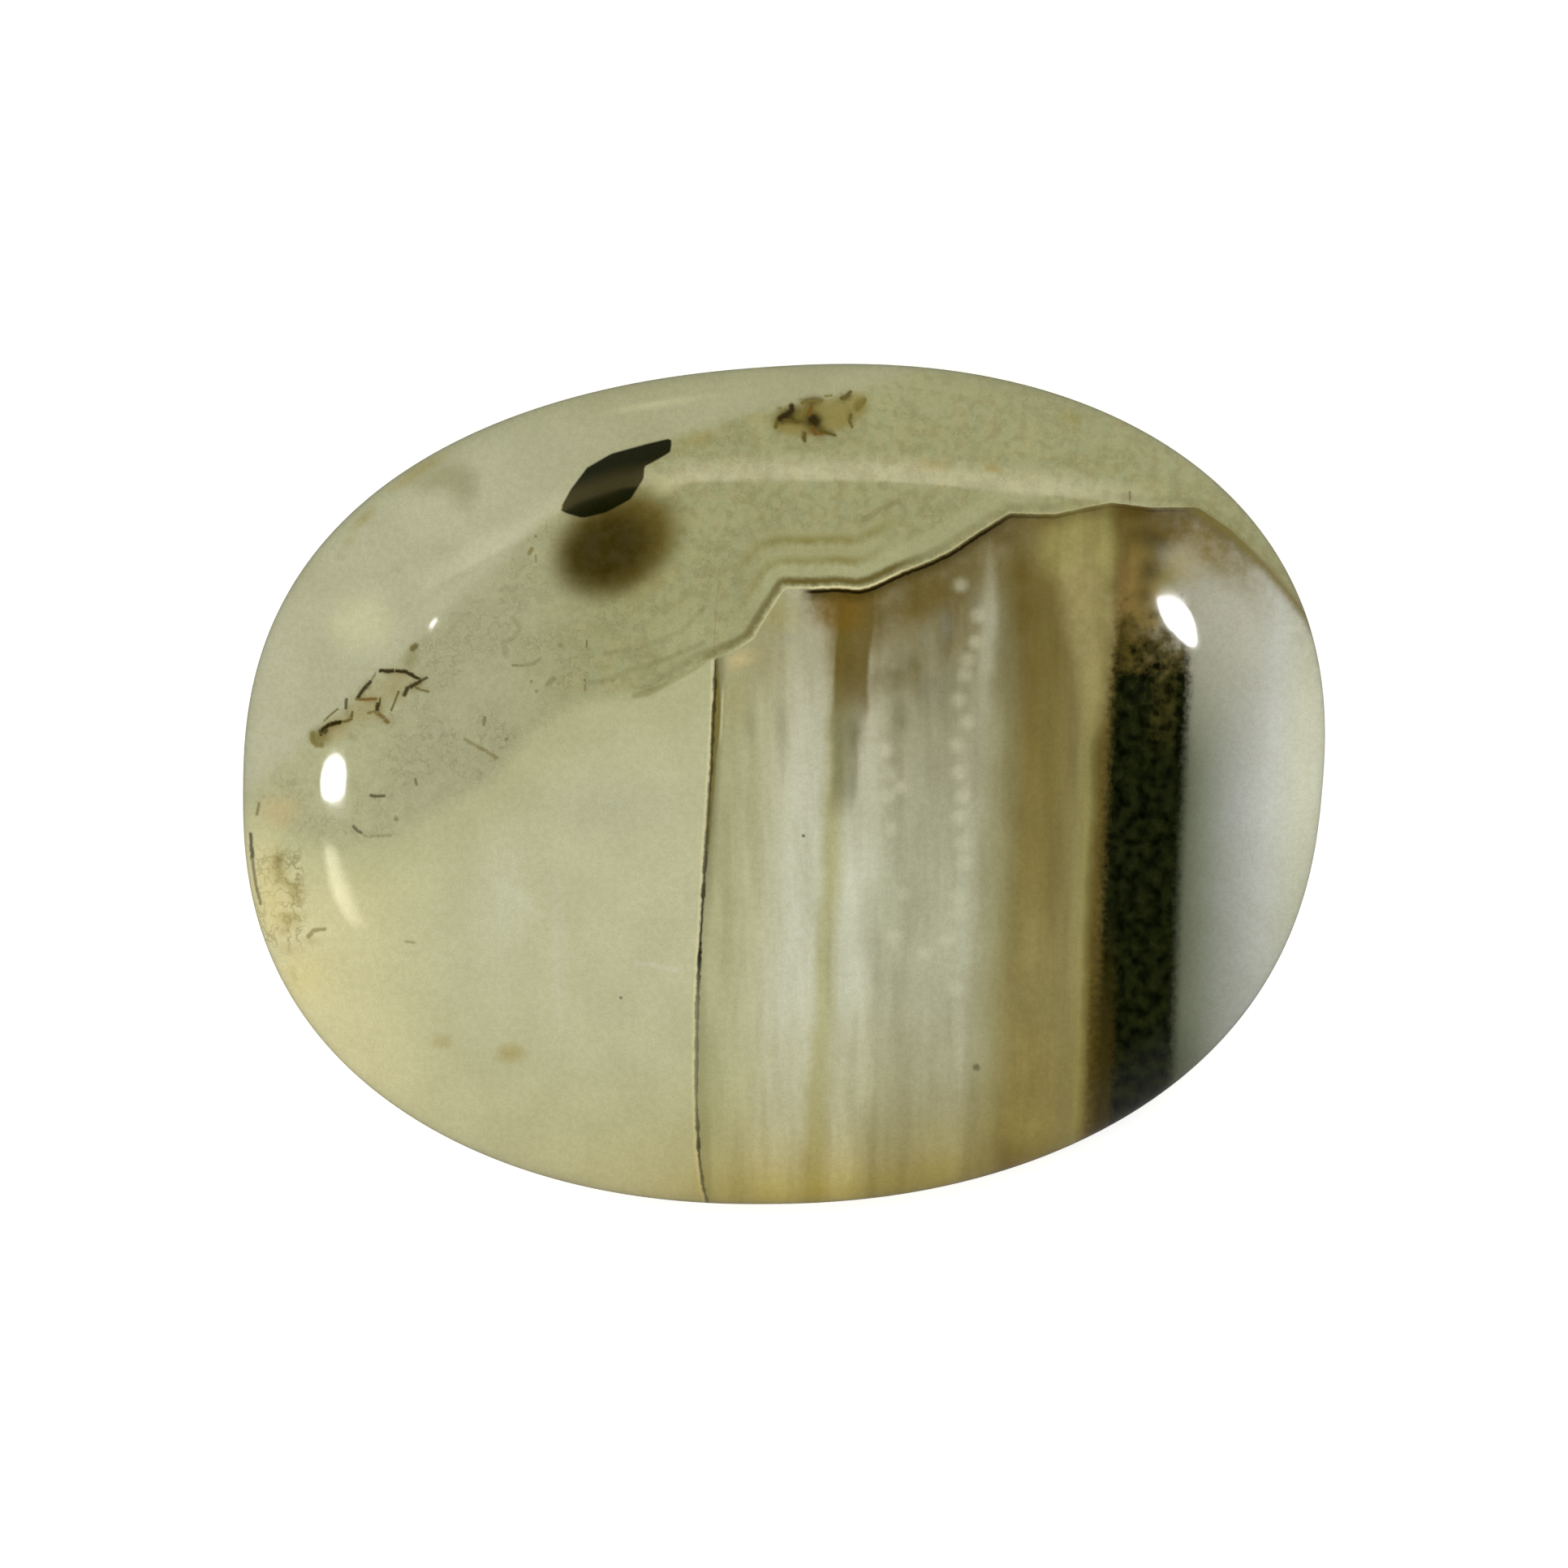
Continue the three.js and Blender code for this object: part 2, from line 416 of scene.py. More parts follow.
# Stains over everything else.
TOP_STAINS = stains(
    # The glassy corner and the upper rim, where the thin pale arc along the rim is a painted reflection.
    (Tint.HAZE_AND_SHEEN, (-11.62, 4.41, 1.46, 1.4, 0.6, 0, 0.1), (-3.5, 10.45, 2.4, 0.17, 0.4, 9)),
    (Tint.LICHEN, (-11.58, 7.34, 0.66, 0.27, 0.5, 42), (-11.99, 6.67, 0.35, 0.22, 0.35, 42),
     (7.92, 10.09, 0.57, 0.31, 0.5, -30), (-2.36, 9.48, 0.71, 0.35, 0.5, 8),
     (4.11, 8.73, 0.71, 0.24, 0.5, -10), (5.71, 8.65, 0.31, 0.15, 0.95, -10, 0.3)),
    (Tint.OLIVE_PALE, (-8.8, 8.15, 0.75, 0.95, 0.55), (-9.52, 8.4, 1.15, 0.6, 0.55, 20),
     (-12.23, 6.26, 0.22, 0.18, 0.3), (-10.62, 5.88, 0.22, 0.15, 0.35), (-1.47, 9.84, 0.31, 0.18, 0.35)),
    (Tint.LICHEN, (-9.84, 8.83, 0.97, 0.27, 0.55, 25), (-10.44, 8.38, 0.88, 0.27, 0.5, 32)),
    # The top of the pale streak beside the beads.
    (Tint.REED, (5.62, 5.8, 0.22, 1.1, 0.4)),
    # The milky body.
    (Tint.CHALK, (-6.15, -4.2, 0.3, 3.8, 0.3), (-7.6, -3, 1.3, 3.2, 0.25)),
    (Tint.STAIN, (-7.48, -7.37, 0.62, 0.42, 0.7, 0, 0.1), (-9.36, -7.05, 0.48, 0.32, 0.5)),
    (Tint.REED, (-4.9, -0.6, 3.4, 1.3, 0.35)),
    (Tint.SAGE, (-2.6, 3.9, 1.2, 1.1, 0.5)),
    (Tint.MOSS_GREEN, (-9.2, 6, 1.3, 1.2, 0.35)),
    (Tint.OLIVE, (9.4, 7.85, 0.34, 0.3, 0.4)),
    # The brown halo under the flake.
    (Tint.HALO_EDGE, (-4.52, 6.58, 2.35, 1.75, 0.95, 32, 0.5)),
    (Tint.HALO_CORE, (-4.8, 6.42, 2, 1.5, 0.97, 30, 0.3)),
    (Tint.CREAM, (-3.24, 8.12, 0.66, 0.35, 0.45, 20)),
    (Tint.KHAKI, (-3.67, 5.33, 1.33, 0.35, 0.3, 25)),
    # The ground of the plume at the left.
    (Tint.TAN, (-12.28, 1.51, 0.75, 0.48, 0.7, 35, 0.2), (-11.42, 2.04, 0.88, 0.62, 0.6, 35, 0.2),
     (-10.63, 2.66, 0.82, 0.62, 0.55, 35, 0.2)),
    (Tint.BRONZE, (-12.73, 1.29, 0.46, 0.36, 0.8, 0, 0.2), (-10.02, 2.72, 0.42, 0.26, 0.65, 35),
     (-11.45, 2.62, 0.55, 0.16, 0.6, 52), (-11.42, 2.31, 0.45, 0.14, 0.6), (-11.08, 2.05, 0.18, 0.42, 0.6)),
    (Tint.OLIVE_PALE, (-10.21, 3.42, 0.31, 0.49, 0.7, -20, 0.1), (-11.95, 1.92, 0.22, 0.4, 0.6),
     (-10.83, 1.73, 0.31, 0.22, 0.5), (-11.82, 1.29, 0.22, 0.18, 0.4)),
    (Tint.BRONZE, (-10.62, 3.05, 0.8, 0.16, 0.55, -4), (-12.4, 1.58, 0.6, 0.2, 0.75, 18)),
    # The ground of the plume at the top.
    (Tint.KHAKI, (-0.75, 10.02, 0.55, 0.25, 0.5, 5)),
    (Tint.BRONZE, (0.15, 10.02, 0.7, 0.48, 0.95, 15, 0.4)),
    (Tint.KHAKI_DEEP, (0.2, 9.72, 0.7, 0.25, 0.85, -10, 0.3), (1.98, 10.42, 0.5, 0.46, 0.95, 0, 0.4)),
    (Tint.BRONZE, (0.8, 10.11, 0.62, 0.66, 1, 0, 0.4)),
    (Tint.KHAKI_DEEP, (1.43, 10.14, 0.85, 0.6, 0.95, 8, 0.5)),
    (Tint.HALO_EDGE, (2.07, 10.44, 0.34, 0.16, 0.7, 50, 0.2)),
    (Tint.UMBER, (0.95, 9.66, 0.45, 0.26, 0.9, 0, 0.2)),
    (Tint.HALO_CORE, (0.82, 9.97, 0.36, 0.34, 0.95, 0, 0.3), (0.08, 10.1, 0.46, 0.22, 0.9, 38, 0.3),
     (0.26, 9.98, 0.42, 0.12, 0.75, -15, 0.2)),
    (Tint.UMBER, (0.73, 10.31, 0.16, 0.36, 0.8, 0, 0.2)),
    (Tint.UMBER_DEEP, (0.76, 10.55, 0.5, 0.15, 0.85, 3, 0.2), (1.7, 10.64, 0.34, 0.14, 0.85, 35, 0.2),
     (0.57, 9.5, 0.12, 0.24, 0.8, 0, 0.2), (1.17, 9.63, 0.4, 0.13, 0.8, -18, 0.2),
     (1.82, 10.02, 0.12, 0.28, 0.6, 5, 0.2)),
    # The two rows of pale beads.
    beads(0.45, 0.3, (4.82, 5.42), (3.16, -0.07), (2.85, -0.31), (4.84, -0.33), (5.22, 3.87)),
    beads(0.42, 0.31, (4.93, 2.96), (5, 1.68), (2.76, 0.93), (2.89, 0.24), (4.76, 2.3)),
    beads(0.38, 0.31, (2.89, -1.22), (3.25, -3.01), (2.96, -4.18), (3.83, -4.6), (4.68, 1.06)),
    beads(0.4, 0.33, (4.73, -0.91), (4.88, -1.61), (4.91, -2.14), (4.73, -3.1), (4.73, -3.52)),
    beads(0.4, 0.32, (4.47, -4.22), (4.67, -5.58), (5.02, 3.38), (4.72, 0.3), (5.3, 4.6)),
    # The yellow rim at the left.
    (Tint.SAND, (-13.9, -0.75, 1, 0.8, 0.7)),
    (Tint.CREAM_DEEP, (-14.22, -2.33, 0.66, 1.55, 0.4)),
    (Tint.LICHEN, (-13.87, -2.23, 0.49, 0.88, 0.35), (-13.68, -2.74, 0.34, 0.2, 0.55, -20),
     (-13.46, -3.08, 0.22, 0.45, 0.5, 20), (-13.62, -3.66, 0.4, 0.2, 0.6, 5),
     (-13.38, -2.94, 0.4, 0.49, 0.4, -20)),
    (Tint.BRONZE, (-13.92, -2.1, 0.24, 0.32, 0.7, -30), (-13.52, -5.25, 0.18, 0.36, 0.4, 8)),
    (Tint.LICHEN, (-13.9, -2.5, 0.26, 0.42, 0.6, -15)),
    (Tint.CREAM_DEEP, (-14.12, -3.45, 0.88, 1.33, 0.6, 15), (-13.29, -5.35, 1.33, 1.1, 0.5, 30)),
    (Tint.CREAM, (-12.55, -5.9, 1.1, 0.88, 0.5, 30)),
    (Tint.LICHEN, (-13.63, -3.75, 0.57, 0.4, 0.4)),
    (Tint.RUST_PALE, (-13.78, -4.07, 0.27, 0.22, 0.35), (-13.62, -4.56, 0.57, 0.35, 0.25)),
    (Tint.LICHEN, (-12.96, -4.33, 0.44, 0.22, 0.3)),
)

THREADS = threads(
    # The plume at the left, under the edge of the glassy corner.
    (Tint.THREAD, (0.95, 0.066, (-11.04, 3.09), (-10.7, 3.09), (-10.38, 3.08), (-10.16, 2.97), (-9.93, 2.84)),
     (0.8, 0.051, (-9.93, 2.82), (-9.76, 2.9)),
     (0.9, 0.07, (-9.93, 2.82), (-10.11, 2.71), (-10.29, 2.62), (-10.38, 2.44)),
     (0.9, 0.066, (-11.33, 2.8), (-11.44, 2.67), (-11.58, 2.49), (-11.67, 2.36)),
     (0.75, 0.061, (-11.98, 2.31), (-12.01, 2.09)), (0.9, 0.066, (-11.08, 2.33), (-11.1, 2.18), (-11.14, 2)),
     (1, 0.07, (-12.12, 1.69), (-12.3, 1.67), (-12.48, 1.62), (-12.64, 1.51), (-12.71, 1.38)),
     (0.85, 0.096, (-12.69, 1.45), (-12.57, 1.47))),
    (Tint.OLIVE, (0.7, 0.042, (-10.16, 2.71), (-9.93, 2.57), (-9.71, 2.53)),
     (0.6, 0.039, (-11.11, 3.11), (-11.33, 2.8)), (0.65, 0.055, (-11.37, 1.95), (-11.14, 1.98)),
     (0.8, 0.039, (-10.74, 2.02), (-10.65, 2.22), (-10.54, 2.53)),
     (0.85, 0.055, (-11.82, 1.96), (-11.85, 1.78), (-11.94, 1.73), (-12.09, 1.71)),
     (0.75, 0.039, (-12.6, 1.74), (-12.41, 1.91), (-12.23, 2.05)),
     (0.8, 0.107, (-10.16, 3.71), (-10.07, 3.77))),
    (Tint.RUST, (0.85, 0.051, (-11.71, 2.33), (-11.46, 2.31), (-11.17, 2.33)),
     (0.75, 0.066, (-11.14, 1.95), (-10.96, 1.82), (-10.83, 1.69))),
    (Tint.BRONZE, (0.75, 0.096, (-12.92, 1.38), (-12.94, 1.22), (-12.82, 1.07), (-12.69, 1.07))),
    # The plume at the top.
    (Tint.OLIVE, (0.9, 0.066, (-0.23, 9.79), (-0.18, 9.95), (-0.09, 10.05)),
     (0.8, 0.046, (0.02, 10.02), (0.2, 9.98), (0.38, 9.91)),
     (0.95, 0.05, (1.01, 9.69), (1.19, 9.61), (1.4, 9.56)), (0.9, 0.06, (0.56, 9.61), (0.56, 9.4)),
     (0.95, 0.066, (1.58, 10.61), (1.7, 10.64), (1.82, 10.79)),
     (0.8, 0.05, (1.84, 10.14), (1.8, 9.94), (1.87, 9.79))),
    (Tint.THREAD, (0.95, 0.099, (-0.11, 10.02), (0.04, 10.14), (0.2, 10.25), (0.21, 10.39)),
     (0.9, 0.149, (0.78, 10.02), (0.85, 9.93))),
    (Tint.BRONZE, (0.6, 0.05, (-0.07, 10.32), (-0.16, 10.32)),
     (0.9, 0.053, (0.48, 10.46), (0.66, 10.53), (0.94, 10.55), (1.03, 10.53)),
     (0.8, 0.044, (1.14, 10.67), (1.3, 10.68)), (0.8, 0.06, (2.23, 10.57), (2.09, 10.34), (2.01, 10.27))),
    (Tint.RUST, (0.85, 0.066, (0.74, 10.37), (0.69, 10.16)),
     (0.85, 0.06, (0.77, 9.79), (0.87, 9.59), (1.01, 9.61))),
    # The net in the moss, and the growth lines that trail off into it.
    (Tint.OLIVE, (0.2, 0.09, (-7.4, 4.54), (-7.22, 4.25), (-7.37, 4.01), (-7.66, 3.83), (-7.57, 3.48)),
     (0.5, 0.045, (-7.39, 3.24), (-7.15, 3.23)), (0.28, 0.055, (-7.15, 3.23), (-6.86, 3.27), (-6.62, 3.43)),
     (0.5, 0.055, (-6.89, 2.79)), (0.5, 0.055, (-6.79, 6.77)), (0.35, 0.088, (-6.09, 3.78)),
     (0.35, 0.083, (-6.44, 2.72), (-6.28, 2.88)), (0.7, 0.03, (-5.38, 3.91), (-5.38, 3.74)),
     (0.5, 0.039, (-5.42, 2.83), (-5.42, 2.56)), (0.35, 0.055, (-5.42, 2.76), (-5, 2.79), (-4.62, 2.83)),
     (0.55, 0.055, (-8.16, 1.81), (-8.19, 1.62)),
     (0.2, 0.09, (-2.19, 3.85), (-3.32, 3.36), (-4.27, 3.07), (-4.82, 2.83), (-5.39, 2.74)),
     (0.15, 0.09, (-4.86, 3.56), (-3.74, 3.78), (-2.79, 4.16), (-2.17, 4.82)),
     (0.28, 0.1, (2.17, 7.22), (2.62, 7.49), (3.15, 7.72)), (0.5, 0.036, (-6.79, 6.25), (-6.78, 6.07)),
     (0.8, 0.036, (9.49, 8.02), (9.49, 7.79))),
    (Tint.RUST, (0.45, 0.061, (-6.75, 2.52))),
    (Tint.BRONZE, (0.5, 0.062, (-8.7, 1.22), (-8.43, 1.06), (-8.1, 0.89), (-7.83, 0.71)),
     (0.35, 0.1, (-1.9, 3.56), (-2.47, 3.14), (-3.18, 2.74), (-3.73, 2.47), (-4.07, 2.41)),
     (0.7, 0.069, (-6.9, 6.43), (-6.96, 6.3))),
    (Tint.THREAD, (0.4, 0.061, (-7.57, 1.22))),
    # The left rim and the foot of the glassy corner.
    (Tint.THREAD, (0.8, 0.075, (-14.74, -1.4), (-14.71, -1.72), (-14.69, -2.05)),
     (0.6, 0.06, (-14.69, -2.05), (-14.64, -2.5), (-14.56, -2.95), (-14.46, -3.3)),
     (0.72, 0.055, (-11.3, -0.32), (-11.14, -0.33), (-10.94, -0.33)),
     (0.65, 0.055, (-11.78, -1.16), (-11.66, -1.29), (-11.57, -1.33))),
    (Tint.OLIVE, (0.6, 0.055, (-14.48, -0.54), (-14.54, -0.83)),
     (0.3, 0.05, (-11.57, -1.33), (-11.41, -1.44), (-11.1, -1.42), (-10.74, -1.4)),
     (0.5, 0.08, (-10.6, -0.95)), (0.6, 0.05, (-10.07, 0.13), (-10.04, -0.02))),
    (Tint.BRONZE, (0.6, 0.07, (-13.08, -4.19), (-12.92, -4.02), (-12.61, -3.98)),
     (0.45, 0.045, (-10.34, -4.31), (-10.12, -4.33))),
    # Painted reflections: two faint pale streaks of light on the milky body, laid as threads.
    (Tint.CHALK, (0.4, 0.09, (-4.02, -4.86), (-3.55, -4.93), (-2.95, -5.08)),
     (0.2, 0.16, (-7.82, -2.61), (-7.2, -3.1), (-6.65, -3.56))),
    # Dark specks.
    (Tint.SPECK, (0.7, 0.055, (-4.45, -5.84)), (0.85, 0.055, (0.53, -1.41)), (0.7, 0.122, (5.26, -7.75))),
)

STREAKS = (
    # The brown streak under the corner of the growth front, going grey and narrow downwards.
    Streak(1.17, 2.16, 0.14, 2.6, 6.0, 1.6, Tint.UMBER, 0.85),
    Streak(1.20, 2.14, 0.16, 1.8, 3.6, 1.2, Tint.UMBER_GREY, 0.7),
    Streak(1.28, 1.98, 0.25, -0.6, 2.0, 1.2, Tint.GREY_STAIN, 0.6),
    # The pale streak beside the main row of beads.
    Streak(5.06, 5.48, 0.36, 2.0, 5.4, 1.2, Tint.PEARL, 0.6),
    # The paler line in the khaki.
    Streak(7.98, 8.38, 0.22, -9.0, 4.0, 3.0, Tint.KHAKI_LIGHT, 0.35),
)

BAND_SEQUENCE = (
    # The milky band at the crack.
    (-2.1, Tint.MILK_SHADE), (-1.4, Tint.MILK_SHADE), (-0.65, Tint.MILK),
    # Two chalky bands, and the straw line between them.
    (0.38, Tint.CHALK), (0.95, Tint.CHALK), (1.26, Tint.STRAW), (1.48, Tint.STRAW), (1.84, Tint.CHALK),
    (2.25, Tint.CHALK),
    # The band between the rows of beads.
    (2.9, Tint.REED), (4.7, Tint.REED), (5.05, Tint.PEARL),
    # The khaki, down to the husk of the black band.
    (5.9, Tint.DUN), (6.6, Tint.OCHRE), (7.3, Tint.OCHRE), (8.05, Tint.WHEAT), (8.28, Tint.FERN),
    (8.62, Tint.HUSK),
)
FAR_BAND_SEQUENCE = (
    (10.8, Tint.SLATE), (11.15, Tint.SLATE_PALE), (11.6, Tint.SMOKE), (12.5, Tint.MIST),
    (13.3, Tint.PALE_MIST), (14.2, Tint.CHALK),
)
# From the growth front upwards: a pale band, and two finer lines over it.
FRONT_SEQUENCE = (
    (0.26, Tint.SAGE), (0.56, Tint.SAGE), (0.71, Tint.FERN), (0.77, Tint.FERN), (0.92, Tint.MOSS),
    (1.12, Tint.MOSS), (1.27, Tint.FERN), (1.33, Tint.FERN), (1.52, Tint.MOSS),
)


# Mesh attributes by how many numbers they hold: their type, and where their numbers are.
LAYER_KINDS = {1: ("FLOAT", "value"), 3: ("FLOAT_VECTOR", "vector"), 4: ("FLOAT_COLOR", "color")}


@dataclass
class StoneMesh:
    """The fine mesh of the stone: a box of square faces, blown up into the ground form."""

    form: StoneForm
    rows_across: int = 170
    rows_crown: int = 42
    rows_heel: int = 18
    heel_turn: float = math.radians(115)
    side_turn: float = math.radians(45)
    bedding_lean: Point = (0.55, -0.3)
    stain_fade: float = 0.5
    polish_depth: float = 0.004
    # The polish waves: radians to the millimetre along X and along Y, and where each starts.
    polish_waves: tuple[tuple[float, ...], ...] = ((0.9, 0.5, 0.4), (0.6, -1.1, 1.9), (-0.3, 1.7, 0.0))

    def box_points(self) -> tuple[np.ndarray, list[tuple[int, ...]]]:
        """Lay out the shell of a box of cells.

        Returns:
            The cell corners on the shell as column, row and level, and the square faces between them.
        """
        top = np.array([self.rows_across, self.rows_across, self.rows_crown + self.rows_heel])
        grid = np.indices(top + 1).reshape(3, -1).T
        shell = grid[((grid == 0) | (grid == top)).any(axis=1)]
        number = np.full(top + 1, -1)
        number[tuple(shell.T)] = np.arange(len(shell))
        faces = []
        for axis in range(3):
            for level in (0, top[axis]):
                sheet = np.moveaxis(number, (axis, (axis + 1) % 3, (axis + 2) % 3), (0, 1, 2))[level]
                square = np.stack([sheet[:-1, :-1], sheet[1:, :-1], sheet[1:, 1:], sheet[:-1, 1:]], axis=-1)
                faces.append((square if level else square[..., ::-1]).reshape(-1, 4))
        return shell, np.concatenate(faces).tolist()

    def directions(self, shell: np.ndarray) -> tuple[np.ndarray, np.ndarray]:
        """Turn box corners into directions from the middle of the stone.

        Args:
            shell: Column, row and level of each corner.

        Returns:
            The turn from straight up and the angle round the stone, in radians.
        """
        east, north = np.tan((shell[:, :2] / self.rows_across * 2 - 1) * math.pi / 4).T
        levels = [0, self.rows_heel, self.rows_heel + self.rows_crown]
        down = np.interp(shell[:, 2], levels, [math.pi - self.side_turn, math.pi / 2, self.side_turn])
        turn = np.arctan2(np.hypot(east, north), 1 / np.tan(down))
        return turn, np.arctan2(north * self.form.width, east * self.form.length)

    def section(self, turn: np.ndarray) -> tuple[np.ndarray, np.ndarray]:
        """Follow the section from the crown over the girdle and heel to the middle of the back.

        Args:
            turn: 0 straight up, half a turn straight down.

        Returns:
            The share of the girdle's radius and the height at each turn.
        """
        form, quarter = self.form, math.pi / 2
        heel = np.clip((turn - quarter) / (self.heel_turn - quarter), 0, 1) * quarter
        heel_share = form.flat_back_share + (1 - form.flat_back_share) * np.cos(heel)
        back_share = form.flat_back_share * (math.pi - turn) / (math.pi - self.heel_turn)
        crown_share = np.sin(np.minimum(turn, quarter))
        share = np.where(turn <= quarter, crown_share, np.minimum(heel_share, back_share))
        heel_height = form.girdle_height * (1 - np.sin(heel))
        return share, np.where(turn <= quarter, form.crown_height(crown_share), heel_height)

    def hand_polish(self, places: np.ndarray, share: np.ndarray) -> np.ndarray:
        """Give the slight waves that polishing by hand lets into the crown.

        Args:
            places: X and Y of each point.
            share: Share of the girdle's radius of each point.

        Returns:
            How far each point stands off the true form, which is never outwards.
        """
        x, y = places.T
        waves = sum(np.sin(along * x + across * y + start) - 1 for along, across, start in self.polish_waves)
        return self.polish_depth * waves * (1 - share**2)

    def build(self, name: str) -> bpy.types.Object:
        """Build the stone and lay the bedding on it.

        Args:
            name: The piece's name.

        Returns:
            The stone, in metres, with its bedding as mesh attributes in millimetres.
        """
        shell, faces = self.box_points()
        turn, angle = self.directions(shell)
        share, height = self.section(turn)
        places = self.form.spread(share, angle)
        height = height + np.where(turn < math.pi / 2, self.hand_polish(places, share), 0)
        stone = add_mesh(name, (np.column_stack([places, height]) * MM).tolist(), faces)
        stone.data.shade_smooth()
        # The beds lean, so under the girdle and on the back they come out further along.
        depth = np.clip(self.form.girdle_height - height, 0, None)[:, None]
        bedded = places + depth * np.array(self.bedding_lean)
        above_girdle = np.clip((height - self.form.girdle_height) / self.stain_fade, 0, 1)
        lines = (GROWTH_FRONT, CRACK, CLEAR_EDGE)
        self.lay_layer(stone, "place", np.column_stack([bedded, height]))
        self.lay_layer(stone, "bedding", np.column_stack([line.distance(bedded) for line in lines]))
        self.lay_layer(stone, "flake", FLAKE_OUTLINE.distance(bedded)[:, None])
        self.lay_layer(stone, "band stain", self.wash(BAND_STAINS, bedded, above_girdle))
        self.lay_layer(stone, "top stain", self.wash(TOP_STAINS, bedded, above_girdle))
        self.lay_threads(stone, bedded[np.array(faces)])
        return stone

    @staticmethod
    def lay_layer(stone: bpy.types.Object, name: str, rows: np.ndarray, domain: str = "POINT") -> None:
        """Store a number, vector or colour for each point of the stone, or for each corner of its faces."""
        kind, key = LAYER_KINDS[rows.shape[-1]]
        stone.data.attributes.new(name, kind, domain).data.foreach_set(key, rows.astype(np.float32).ravel())

    @staticmethod
    def wash(layers: tuple[Stain, ...], places: np.ndarray, share: np.ndarray) -> np.ndarray:
        """Lay stains over one another.

        Args:
            layers: The stains, from the lowest up.
            places: X and Y of each point.
            share: How much of the stains each point may show.

        Returns:
            The colour at each point, whose alpha is how much of the ground it hides.
        """
        wash = np.zeros((len(places), 4))
        for stain in layers:
            shown = (stain.shown(places) * share)[:, None]
            wash = wash * (1 - shown) + np.array(stain.tint.linear) * shown
        return wash

    def lay_threads(self, stone: bpy.types.Object, corners: np.ndarray) -> None:
        """Give each face the frame and the tint of the stretch of thread that is nearest to it.

        A place in a stretch's frame changes evenly over a face, so a thread is drawn exactly, however fine.

        Args:
            stone: The stone.
            corners: X and Y of each corner of each face.
        """
        stretches = [(thread, *ends) for thread in THREADS for ends in thread.stretches()]
        starts, ends = (np.array([stretch[number] for stretch in stretches]) for number in (1, 2))
        widths = np.array([thread.half_width for thread, *_ in stretches])
        tints = np.array([(*thread.tint.linear[:3], thread.strength) for thread, *_ in stretches])
        lengths = np.linalg.norm(ends - starts, axis=1)
        ways = (ends - starts) / np.maximum(lengths, 1e-6)[:, None]
        ways[lengths == 0] = (1, 0)

        middles = corners.mean(axis=1)
        nearest = np.zeros(len(middles), int)
        least = np.full(len(middles), np.inf)
        for number, (start, way, length, width) in enumerate(zip(starts, ways, lengths, widths)):
            along = np.clip((middles - start) @ way, 0, length)
            gap = np.linalg.norm(middles - start - along[:, None] * way, axis=1) - width
            closer = gap < least
            nearest[closer], least[closer] = number, gap[closer]

        away = corners - ((starts + ends) / 2)[nearest][:, None]
        way, width = ways[nearest][:, None], widths[nearest][:, None]
        along = (away * way).sum(axis=-1) / width
        across = (away[..., 1] * way[..., 0] - away[..., 0] * way[..., 1]) / width
        reach = np.broadcast_to(lengths[nearest][:, None] / 2 / width, along.shape)
        self.lay_layer(stone, "thread", np.stack([along, across, reach], axis=-1), "CORNER")
        self.lay_layer(stone, "thread tint", np.repeat(tints[nearest], corners.shape[1], axis=0), "CORNER")


# Shader nodes


def bare_tree(block: bpy.types.Material | bpy.types.World) -> bpy.types.NodeTree:
    """Give a material or a world a node tree without nodes.

    Args:
        block: The material or world.

    Returns:
        The tree.
    """
    block.use_nodes = True
    block.node_tree.nodes.clear()
    return block.node_tree


